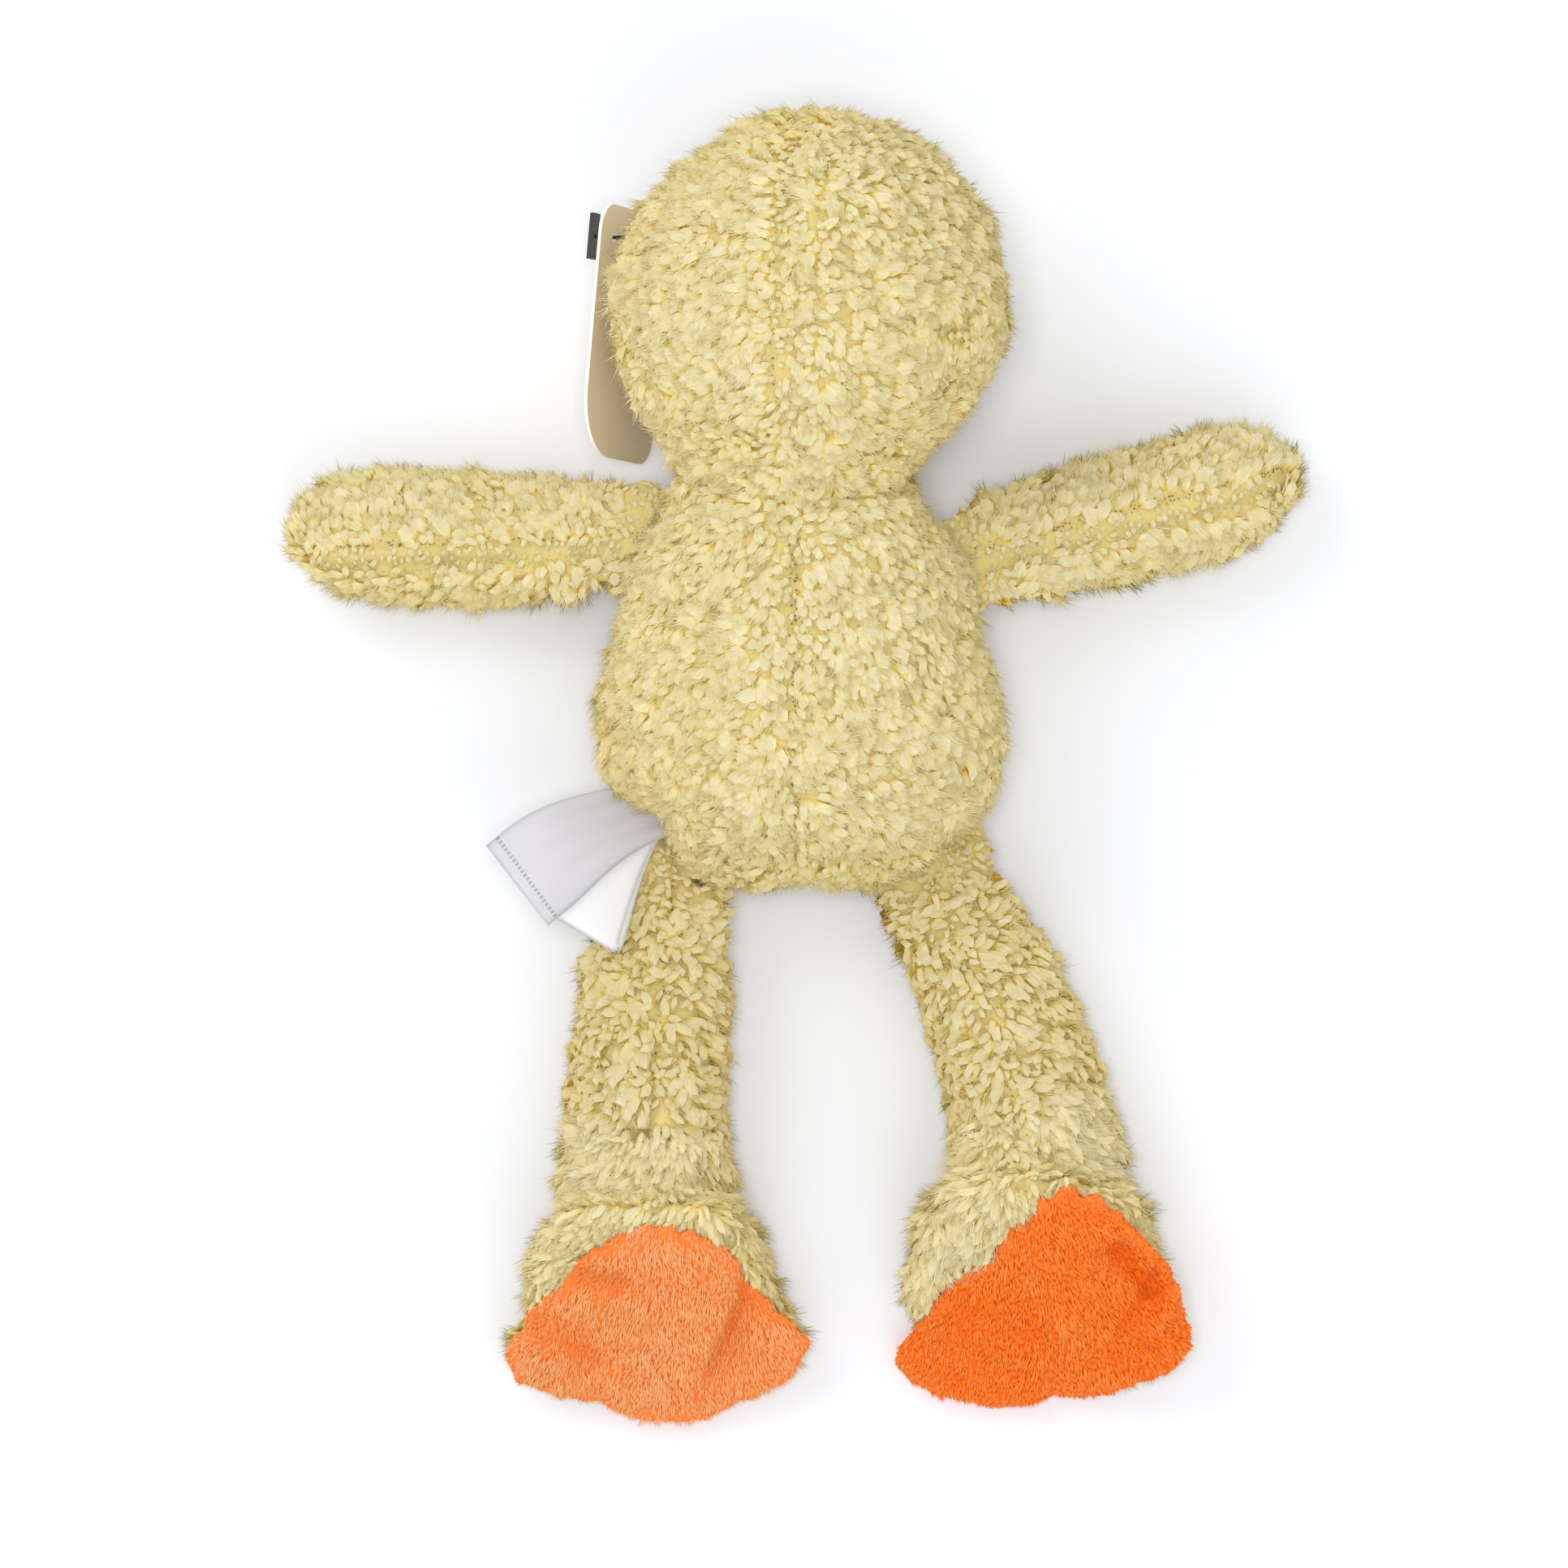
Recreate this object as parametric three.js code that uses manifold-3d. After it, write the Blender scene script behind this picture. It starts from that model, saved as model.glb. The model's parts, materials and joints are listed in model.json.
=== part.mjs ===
// Plush chick lying face down with its wings spread: sewn sherpa panels over fibre stuffing.
// Millimetres. +Z is up, out of the chick's back, +Y points to its head, +X to its right.
// The origin is the middle of the face that its belly rests on.
import * as THREE from "three";
import { mergeVertices } from "three/addons/utils/BufferGeometryUtils.js";
import Module from "manifold-3d";

const FLEECE = 5; // knit backing and pile together
const SEAM_GAP = 0.3; // between two panels that are sewn together
const CLEARANCE = 0.3; // between two parts that rest or move on each other
const FLOOR_CUT = 0.5; // how deep a soft form is flattened where it rests

const HEAD_RADIUS = 49.4;
const HEAD_X = 1.9;
const NECK_Y = 55.5; // where head and body meet
const NECK_RADIUS = 30;
const HEAD_TURNED = 9; // degrees that the face is turned, as it lies
const FACE_SEAM = 8; // height of the face seam below the head's middle
const NECK_THREAD_RADIUS = 7;
const NECK_THREAD = 1.2; // thickness of the drawn thread

const BEAK_REACH = 10; // from the face to the tip
const BEAK_ROOT = 4; // how deep the beak's rounded form starts inside the face
const BEAK_WIDTH = 28;
const BEAK_HEIGHT = 20;
const BEAK_LOW = 8; // degrees below the middle of the face
const EYE_RADIUS = 5;
const EYE_DOME = 3.2;
const EYE_SPREAD = 22; // degrees to each side
const EYE_RAISE = 6; // degrees above the middle of the face
const SHANK_RADIUS = 1.8;
const SHANK_POINT = 1.1; // radius of the shank's blunt tip
const SHANK_END = 3; // how far the shank reaches past its washer
const WASHER_RADIUS = 6;
const WASHER = 1.5;

const BODY_WIDTH = 102.4;
const BODY_WIDEST_Y = -9;
const BODY_BOTTOM_Y = -46.5;
const BODY_BACK = 44; // from the body's middle up to the back
const BODY_MIDDLE_Z = 36;
const NECK_Z = 48;
const BODY_SEAM_Z = 26; // height of the bottom seam
const BELLY_FLAT = 20; // how far the belly stays level each way
const BACK_SEAM_X = -2;
const SIDE_SEAM_Z = 34;
const POUCH_LENGTH = 26; // from the bottom seam up into the body

const WING_LENGTH = 89;
const WING_WIDTH = 36;
const WING_THICKNESS = 34;
const WING_TIP = 22;
const WING_ROOT = 35; // along the side seam
const WING_WEDGE = 42; // over which the wing thickens

const LEG_WIDTH = 41;
const LEG_THICKNESS = 39;
const LEG_ROOT = 36; // along the bottom seam
const LEG_WEDGE = 46; // over which the leg thickens
const ROOT_EDGE = 2; // half the thickness of a limb's sewn edge
const HIP_INSET = 22.2; // from the body's side to the middle of the hip
const HIP_Z = 25;
const HIP_SLANT = 2; // degrees that each hip turns outwards
const HIP_SWING = [-20, 0, 20, 40, 60, 80]; // degrees at which a leg has to clear the body

const ANKLE_RADIUS = 19;
const ANKLE_TAPER = 8;
const FOOT_REACH = 62; // from the ankle to the toe
const FOOT_WIDTH = 77;
const FOOT_HEEL = 25.5; // half width at the ankle
const FOOT_TOE = 19; // length of the rounded toe
const FOOT_TOE_Z = 8;
const HEEL_Z = 46; // height of the sole's upper end
const HEEL_REACH = 8; // from the ankle to the sole's upper end
const SOLE_TILT = 38.5; // degrees
const SOLE = 4;
const ANKLE_LEAN = 20; // degrees that the foot's opening leans back
const ANKLE_OPEN = 60; // degrees from the leg's line to the edge of the foot's opening

const LABEL = 0.5;
const SATIN_LENGTH = 35;
const SATIN_WIDTH = 25;
const CARE_LENGTH = 28;
const CARE_WIDTH = 22;
const CARE_SHIFT = 8.6; // along the seam
const CARE_LEAN = 24; // degrees from the satin label
const CARE_DROP = 1.8;
const LABEL_Z = 35;
const LABEL_RISE = 12;
const LABEL_ANGLE = 204; // degrees round the body, from +X
const LABEL_HEADING = 209; // degrees of the way that the satin label points

const TAG_LENGTH = 62;
const TAG_WIDTH = 42;
const TAG = 0.8;
const TAG_CORNER = 7;
const TAG_BIG_CORNER = 16;
const TAG_LEAN = 22.3; // degrees from upright
const TAG_TURN = -5; // degrees, seen from above
const TAG_AWAY = 4.4; // from the head's side to the card
const TAG_HOLE_RADIUS = 1.3;
const TAG_HOLE_IN = 8; // from the hole to the card's two nearest edges
const TAG_HOLE_Y = 114;
const TAG_HOLE_Z = 40.6;
const PADDLE = [11.4, 3.2, 1.4];
const PADDLE_AWAY = 4.2; // from the card, on a loose thread
const FILAMENT = 0.5;
const CROSS_BAR = 9;
const CROSS_BAR_RADIUS = 0.7;

const WINGS = [
  { name: "left_wing", side: -1, shoulderY: 38, heading: 2, seam: 20 },
  { name: "right_wing", side: 1, shoulderY: 34, heading: 15, seam: 10 },
];
const LEGS = [
  { name: "left", side: -1, bend: [-36.5, -80], ankle: [-39.6, -121.6], heading: 3, roll: 3 },
  { name: "right", side: 1, bend: [51, -76], ankle: [58.6, -116], heading: -2, roll: 15 },
];

const BIG = 600;
const THIN = 1.2; // the thinnest that stuffing gets

const wasm = await Module();
wasm.setup();

const vec = (x, y, z) => new THREE.Vector3(x, y, z);
const rad = THREE.MathUtils.degToRad;
const mix = THREE.MathUtils.lerp;
const ease = (t) => THREE.MathUtils.smoothstep(t, 0, 1);
const X = vec(1, 0, 0);
const Y = vec(0, 1, 0);
const Z = vec(0, 0, 1);

function solidOf(geometry) {
  const bare = geometry.clone();
  bare.deleteAttribute("normal");
  bare.deleteAttribute("uv");
  const merged = mergeVertices(bare, 1e-4);
  const triVerts = new Uint32Array(merged.index.array);
  const vertProperties = new Float32Array(merged.attributes.position.array);
  return new wasm.Manifold(new wasm.Mesh({ numProp: 3, vertProperties, triVerts }));
}

function geometryOf(solid) {
  const mesh = solid.getMesh();
  const geometry = new THREE.BufferGeometry();
  geometry.setAttribute("position", new THREE.BufferAttribute(mesh.vertProperties.slice(), 3));
  geometry.setIndex(new THREE.BufferAttribute(mesh.triVerts.slice(), 1));
  geometry.computeVertexNormals();
  return geometry;
}

function closedSkin(points, faces) {
  const geometry = new THREE.BufferGeometry();
  geometry.setFromPoints(points);
  geometry.setIndex(faces);
  return solidOf(geometry);
}

// The half of space that a plane's normal points into.
function beyond(point, normal) {
  const box = new THREE.BoxGeometry(BIG, BIG, BIG).translate(0, 0, BIG / 2);
  box.applyQuaternion(new THREE.Quaternion().setFromUnitVectors(Z, normal));
  return solidOf(box.translate(point.x, point.y, point.z));
}

function split(solid, point, normal) {
  const step = normal.clone().multiplyScalar(SEAM_GAP / 2);
  const far = beyond(point.clone().add(step), normal);
  const near = beyond(point.clone().sub(step), normal.clone().negate());
  return [solid.intersect(far), solid.intersect(near)];
}

function ball(centre, radius, around = 22, down = 13) {
  const sphere = new THREE.SphereGeometry(radius, around, down);
  return solidOf(sphere.translate(centre.x, centre.y, centre.z));
}

// Room for a ball: no flat of it comes nearer to the middle than the radius.
function ballRoom(centre, radius, around = 26, down = 16) {
  const flats = Math.cos(Math.PI / around) * Math.cos(Math.PI / (2 * down));
  return ball(centre, radius / flats, around, down);
}

// A turned shape, drawn along +Y from the foot of the profile and stood along a direction.
function turned(profile, foot, direction, around = 14) {
  const points = profile.map(([radius, along]) => new THREE.Vector2(radius, along));
  const lathe = new THREE.LatheGeometry(points, around);
  lathe.applyQuaternion(new THREE.Quaternion().setFromUnitVectors(Y, direction));
  return solidOf(lathe.translate(foot.x, foot.y, foot.z));
}

function rod(radius, from, to, around = 12) {
  const length = from.distanceTo(to);
  const profile = [[0, 0], [radius, 0], [radius, length], [0, length]];
  return turned(profile, from, to.clone().sub(from).normalize(), around);
}

// A soft form: rounded rings along a line, closed by a rounded cap at each end.
// Each ring has a middle, two directions, a half width, and a height above and below the middle.
function form(rings, { startCap, endCap, around, inset = 0, capSteps = 3 }) {
  const kept = rings.filter((ring) => Math.min(ring.width, ring.above, ring.below) > inset + THIN);
  const points = [];
  const faces = [];
  const addRing = (ring, scale, shift) => {
    const middle = ring.at.clone().add(shift);
    for (let i = 0; i < around; i++) {
      const turn = (2 * Math.PI * i) / around;
      const cos = Math.cos(turn);
      const sin = Math.sin(turn);
      const full = sin < 0 ? ring.fullBelow ?? 2 : 2;
      const height = sin < 0 ? ring.below : ring.above;
      const along = Math.sign(cos) * Math.abs(cos) ** (2 / full) * (ring.width - inset) * scale;
      const up = Math.sign(sin) * Math.abs(sin) ** (2 / full) * (height - inset) * scale;
      points.push(middle.clone().addScaledVector(ring.side, along).addScaledVector(ring.up, up));
    }
  };
  const outward = (ring, next) => {
    const way = vec().crossVectors(ring.side, ring.up);
    return way.dot(next.at.clone().sub(ring.at)) > 0 ? way.negate() : way;
  };
  const first = kept[0];
  const last = kept[kept.length - 1];
  const startWay = outward(first, kept[1]);
  const endWay = outward(last, kept[kept.length - 2]);
  const startReach = Math.max(startCap - inset, 0.3);
  const endReach = Math.max(endCap - inset, 0.3);
  const bend = (step) => (step / capSteps) * (Math.PI / 2);
  for (let step = capSteps - 1; step > 0; step--) {
    const shift = startWay.clone().multiplyScalar(startReach * Math.sin(bend(step)));
    addRing(first, Math.cos(bend(step)), shift);
  }
  kept.forEach((ring) => addRing(ring, 1, vec()));
  for (let step = 1; step < capSteps; step++) {
    const shift = endWay.clone().multiplyScalar(endReach * Math.sin(bend(step)));
    addRing(last, Math.cos(bend(step)), shift);
  }
  const count = points.length / around;
  for (let ring = 0; ring + 1 < count; ring++) {
    for (let i = 0; i < around; i++) {
      const a = ring * around + i;
      const b = ring * around + ((i + 1) % around);
      faces.push(a, b, a + around, b, b + around, a + around);
    }
  }
  const startPole = points.length;
  points.push(first.at.clone().addScaledVector(startWay, startReach));
  points.push(last.at.clone().addScaledVector(endWay, endReach));
  for (let i = 0; i < around; i++) {
    const next = (i + 1) % around;
    faces.push(startPole, next, i);
    faces.push(startPole + 1, startPole - around + i, startPole - around + next);
  }
  const turnedOut = vec().crossVectors(first.side, first.up).dot(startWay) < 0;
  if (!turnedOut) {
    for (let i = 0; i < faces.length; i += 3) {
      [faces[i], faces[i + 1]] = [faces[i + 1], faces[i]];
    }
  }
  return closedSkin(points, faces);
}

function turnedAbout(solid, point, axis, degrees) {
  const turn = new THREE.Matrix4().makeTranslation(point.x, point.y, point.z);
  turn.multiply(new THREE.Matrix4().makeRotationAxis(axis, rad(degrees)));
  turn.multiply(new THREE.Matrix4().makeTranslation(-point.x, -point.y, -point.z));
  return solidOf(geometryOf(solid).applyMatrix4(turn));
}

// Where a line from inside a solid leaves it.
function leaves(solid, from, direction) {
  const skin = new THREE.Mesh(geometryOf(solid), new THREE.MeshBasicMaterial({ side: THREE.DoubleSide }));
  const hits = new THREE.Raycaster(from, direction.clone().normalize()).intersectObject(skin);
  return hits[hits.length - 1].point;
}

const floor = beyond(vec(0, 0, 0), Z);
const aboveFloor = (solid) => solid.intersect(floor);

const paints = {
  fleece: [0xe9e0a6, 1],
  minky: [0xff8a48, 0.95],
  stuffing: [0xf6f4ee, 1],
  satin: [0xf4f3f0, 0.45],
  card: [0xf0ead8, 0.7],
  black: [0x111111, 0.35],
  eye: [0x0b0a0a, 0.08],
  washer: [0xe8e8e6, 0.5],
  thread: [0xe6dca2, 0.9],
};
const materials = Object.fromEntries(
  Object.entries(paints).map(([name, [color, roughness]]) => {
    return [name, new THREE.MeshStandardMaterial({ name, color, roughness, metalness: 0 })];
  }),
);

const chick = new THREE.Group();
chick.name = "plush_chick";

// Each moving part is a group that stands on its pivot, with its X axis along the joint.
function pivot(name, parent, point, axis) {
  const group = new THREE.Group();
  group.name = name;
  group.quaternion.setFromUnitVectors(X, axis);
  group.position.copy(point);
  chick.add(group);
  chick.updateMatrixWorld(true);
  parent.attach(group);
  return group;
}

function add(group, name, solid, paint) {
  const mesh = new THREE.Mesh(geometryOf(solid), materials[paint]);
  mesh.name = name;
  chick.add(mesh);
  chick.updateMatrixWorld(true);
  group.attach(mesh);
  return mesh;
}

// Head: a ball that sits in the neck, so that it turns and nods without meeting the body.
const headSink = Math.sqrt(HEAD_RADIUS ** 2 - NECK_RADIUS ** 2);
const headMiddle = vec(HEAD_X, NECK_Y + headSink, HEAD_RADIUS + BEAK_REACH);
const headRoom = ballRoom(headMiddle, HEAD_RADIUS + CLEARANCE);
const faceTurn = new THREE.Quaternion().setFromAxisAngle(Y, rad(-HEAD_TURNED));
const headWay = (aside, raise) => {
  const way = vec(0, 0, -1);
  way.applyAxisAngle(X, rad(-raise)).applyAxisAngle(Y, rad(-aside));
  return way.applyQuaternion(faceTurn);
};

const torso = new THREE.Group();
torso.name = "torso";
chick.add(torso);
const neck = pivot("neck", torso, headMiddle, X);
const head = pivot("head", neck, headMiddle, Y);

const threadAt = headMiddle.clone().addScaledVector(Y, -HEAD_RADIUS);
const threadRing = (grow) => {
  const [inner, outer] = [NECK_THREAD_RADIUS - grow, NECK_THREAD_RADIUS + NECK_THREAD + grow];
  const [low, high] = [FLEECE / 2 - grow, FLEECE / 2 + NECK_THREAD + grow];
  return turned([[inner, low], [outer, low], [outer, high], [inner, high], [inner, low]], threadAt, Y);
};
const threadSlot = NECK_THREAD_RADIUS + NECK_THREAD + CLEARANCE;
const threadEnds = [-FLEECE, FLEECE].map((along) => threadAt.clone().addScaledVector(Y, along));
const threadOpening = rod(threadSlot, ...threadEnds);

let headStuffing = ball(headMiddle, HEAD_RADIUS - FLEECE - CLEARANCE, 14, 8);
let headCover = ball(headMiddle, HEAD_RADIUS).subtract(ball(headMiddle, HEAD_RADIUS - FLEECE, 14, 8));
headCover = headCover.subtract(threadOpening);
headStuffing = headStuffing.subtract(threadOpening);

const washerSink = WASHER_RADIUS ** 2 / (2 * (HEAD_RADIUS - FLEECE)) + 2 * CLEARANCE;
for (const [name, side] of [["left", -1], ["right", 1]]) {
  const out = headWay(side * EYE_SPREAD, EYE_RAISE);
  const seat = headMiddle.clone().addScaledVector(out, HEAD_RADIUS + CLEARANCE);
  const inner = FLEECE + CLEARANCE + washerSink;
  const shankTip = inner + WASHER + SHANK_END;
  const dome = [];
  for (let step = 0; step <= 5; step++) {
    const angle = (step / 5) * (Math.PI / 2);
    dome.push([EYE_RADIUS * Math.cos(angle), EYE_DOME * Math.sin(angle)]);
  }
  dome[5][0] = 0;
  const shank = [[0, -shankTip], [SHANK_POINT, -shankTip], [SHANK_RADIUS, -shankTip + 1], [SHANK_RADIUS, 0]];
  add(head, `${name}_eye`, turned([...shank, ...dome], seat, out), "eye");
  const hole = SHANK_RADIUS + CLEARANCE;
  const back = -inner - WASHER;
  const ring = [[hole, back], [WASHER_RADIUS, back], [WASHER_RADIUS, -inner], [hole, -inner], [hole, back]];
  add(head, `${name}_eye_washer`, turned(ring, seat, out), "washer");
  const past = shankTip + CLEARANCE;
  const wide = WASHER_RADIUS + CLEARANCE;
  const room = turned([[0, -past], [hole, -past], [hole, CLEARANCE], [0, CLEARANCE]], seat, out);
  const washerRoom = (top) => {
    const low = back - CLEARANCE;
    return turned([[0, low], [wide, low], [wide, top], [0, top]], seat, out);
  };
  headCover = headCover.subtract(room).subtract(washerRoom(-inner + CLEARANCE));
  headStuffing = headStuffing.subtract(room).subtract(washerRoom(0));
}

const beakWay = headWay(0, -BEAK_LOW);
const beakSide = X.clone().applyQuaternion(faceTurn);
const beakUp = vec().crossVectors(beakSide, beakWay).normalize();
const beakTip = headMiddle.z / -beakWay.z - HEAD_RADIUS + FLOOR_CUT;
const beakForm = new THREE.SphereGeometry(1, 18, 12);
beakForm.scale(BEAK_WIDTH / 2, BEAK_HEIGHT / 2, beakTip + BEAK_ROOT);
beakForm.applyMatrix4(new THREE.Matrix4().makeBasis(beakSide, beakUp.clone().negate(), beakWay));
const beakAt = headMiddle.clone().addScaledVector(beakWay, HEAD_RADIUS - BEAK_ROOT);
let beak = solidOf(beakForm.translate(beakAt.x, beakAt.y, beakAt.z)).subtract(headRoom);
beak = aboveFloor(beak);
const [beakOne, beakTwo] = split(beak, beakAt, beakUp);
const beakHalves = beakUp.y > 0 ? [beakOne, beakTwo] : [beakTwo, beakOne];
add(head, "beak_upper", beakHalves[0], "minky");
add(head, "beak_lower", beakHalves[1], "minky");

// Body: a pear that lies on a level belly and cups the head.
function bodyRing(y) {
  const side = X;
  const up = Z;
  if (y >= BODY_WIDEST_Y) {
    const t = (y - BODY_WIDEST_Y) / (NECK_Y - BODY_WIDEST_Y);
    const middle = mix(BODY_MIDDLE_Z, NECK_Z, t);
    const level = (BELLY_FLAT - BODY_WIDEST_Y) / (NECK_Y - BODY_WIDEST_Y);
    const lift = Math.max(0, (t - level) / (1 - level));
    const underside = -FLOOR_CUT + (NECK_Z - NECK_RADIUS + FLOOR_CUT) * lift ** 2;
    const width = BODY_WIDTH / 2 - (BODY_WIDTH / 2 - NECK_RADIUS) * t ** 1.6;
    const above = BODY_BACK - (BODY_BACK - NECK_RADIUS) * t ** 1.6;
    const below = middle - underside;
    return { at: vec(0, y, middle), side, up, width, above, below, fullBelow: mix(3, 2, lift) };
  }
  const length = BODY_WIDEST_Y - BODY_BOTTOM_Y;
  const t = (BODY_WIDEST_Y - y) / length;
  const level = Math.min(0.6, (BELLY_FLAT + BODY_WIDEST_Y) / length);
  const lift = Math.max(0, (t - level) / (1 - level));
  const middle = mix(BODY_MIDDLE_Z, BODY_SEAM_Z, t ** 2);
  const underside = -FLOOR_CUT + (BODY_SEAM_Z + FLOOR_CUT) * (1 - Math.sqrt(1 - lift ** 2));
  const round = (1 - t ** 2.2) ** (1 / 2.2);
  const width = (BODY_WIDTH / 2) * round;
  const above = BODY_BACK * round;
  const below = middle - underside;
  return { at: vec(0, y, middle), side, up, width, above, below, fullBelow: mix(3, 2, lift) };
}
const bodyLength = BODY_WIDEST_Y - BODY_BOTTOM_Y;
const bodyRings = [0.96, 0.88, 0.77, 0.63, 0.46, 0.25].map((t) => bodyRing(BODY_WIDEST_Y - t * bodyLength));
for (const t of [0, 0.2, 0.38, 0.54, 0.7, 0.85, 1, 1.08]) {
  bodyRings.push(bodyRing(mix(BODY_WIDEST_Y, NECK_Y, t)));
}
const bodyForm = (inset, around) => {
  return form(bodyRings, { startCap: 0.04 * bodyLength, endCap: 0.3, around, inset, capSteps: 2 });
};
const bodyOuter = aboveFloor(bodyForm(0, 20));
const bodyRoom = bodyForm(-CLEARANCE, 20);
const insideFloor = (solid, inset) => solid.intersect(beyond(vec(0, 0, inset), Z));
const bodyCover = bodyOuter.subtract(insideFloor(bodyForm(FLEECE, 12), FLEECE)).subtract(headRoom);
const bodyInset = FLEECE + CLEARANCE;
const bodyFill = insideFloor(bodyForm(bodyInset, 12), bodyInset).subtract(headRoom);
const [bodyFibre, bodyPouch] = split(bodyFill, vec(0, BODY_BOTTOM_Y + POUCH_LENGTH, 0), Y);
const [bodyBack, bodyFront] = split(bodyCover, vec(0, 0, SIDE_SEAM_Z), Z);
const [bodyRight, bodyLeft] = split(bodyBack, vec(BACK_SEAM_X, 0, 0), X);
add(torso, "body_back_left_panel", bodyLeft, "fleece");
add(torso, "body_back_right_panel", bodyRight, "fleece");
add(torso, "body_belly_panel", bodyFront, "fleece");
add(torso, "body_stuffing", bodyFibre, "stuffing");
add(torso, "pellet_pouch", bodyPouch, "stuffing");

// A sewn limb: a thin rounded edge along a seam of the body that swells to a round limb.
function sewnEdge(from, way, spread, half) {
  const step = spread.clone().multiplyScalar(half * 0.8);
  const one = leaves(bodyOuter, from.clone().add(step), way);
  const two = leaves(bodyOuter, from.clone().sub(step), way);
  const along = one.clone().sub(two).normalize();
  const out = vec().crossVectors(along, Z).normalize();
  if (out.dot(way) < 0) {
    out.negate();
  }
  const middle = one.clone().add(two).multiplyScalar(0.5);
  let proud = 0;
  for (const share of [-1, -0.5, 0, 0.5, 1]) {
    const here = leaves(bodyOuter, from.clone().addScaledVector(spread, half * share), way);
    proud = Math.max(proud, here.clone().sub(middle).dot(out));
  }
  return { along, out, at: middle.addScaledVector(out, proud + ROOT_EDGE + CLEARANCE) };
}

for (const wing of WINGS) {
  const reach = vec(wing.side, 0, 0);
  const edge = sewnEdge(vec(0, wing.shoulderY, SIDE_SEAM_Z), reach, Y, WING_ROOT / 2);
  const way = reach.clone().applyAxisAngle(Z, rad(wing.side * wing.heading));
  const across = vec().crossVectors(Z, way);
  const rootAlong = edge.along.dot(across) < 0 ? edge.along.clone().negate() : edge.along;
  const restZ = WING_THICKNESS / 2 - FLOOR_CUT;
  const rings = [0, 6, 13, 21, 30, WING_WEDGE, WING_LENGTH - WING_TIP].map((s) => {
    const open = ease(s / WING_WEDGE);
    const at = edge.at.clone().addScaledVector(way, s);
    at.z = mix(SIDE_SEAM_Z, restZ, open);
    const side = rootAlong.clone().lerp(across, ease(s / 30)).normalize();
    const height = mix(ROOT_EDGE, WING_THICKNESS / 2, open);
    return { at, side, up: Z, width: mix(WING_ROOT, WING_WIDTH, open) / 2, above: height, below: height };
  });
  const wingForm = (inset, around) => {
    return aboveFloor(form(rings, { startCap: ROOT_EDGE, endCap: WING_TIP, around, inset }));
  };
  const outer = wingForm(0, 12).subtract(bodyRoom);
  const cover = outer.subtract(insideFloor(wingForm(FLEECE, 8), FLEECE));
  const hinge = rootAlong.clone().multiplyScalar(-wing.side);
  const hingeWay = hinge.y * wing.side < 0 ? hinge : hinge.negate();
  const group = pivot(wing.name, torso, edge.at, hingeWay);
  const north = across.clone().multiplyScalar(Math.sign(across.y));
  const seamWay = north.applyAxisAngle(way, rad(-wing.side * wing.seam));
  const [upper, under] = split(cover, edge.at.clone().setZ(restZ), seamWay);
  add(group, `${wing.name}_top_panel`, upper, "fleece");
  add(group, `${wing.name}_under_panel`, under, "fleece");
  const fill = insideFloor(wingForm(FLEECE + CLEARANCE, 8), FLEECE + CLEARANCE);
  add(group, `${wing.name}_stuffing`, fill, "stuffing");
}

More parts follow.
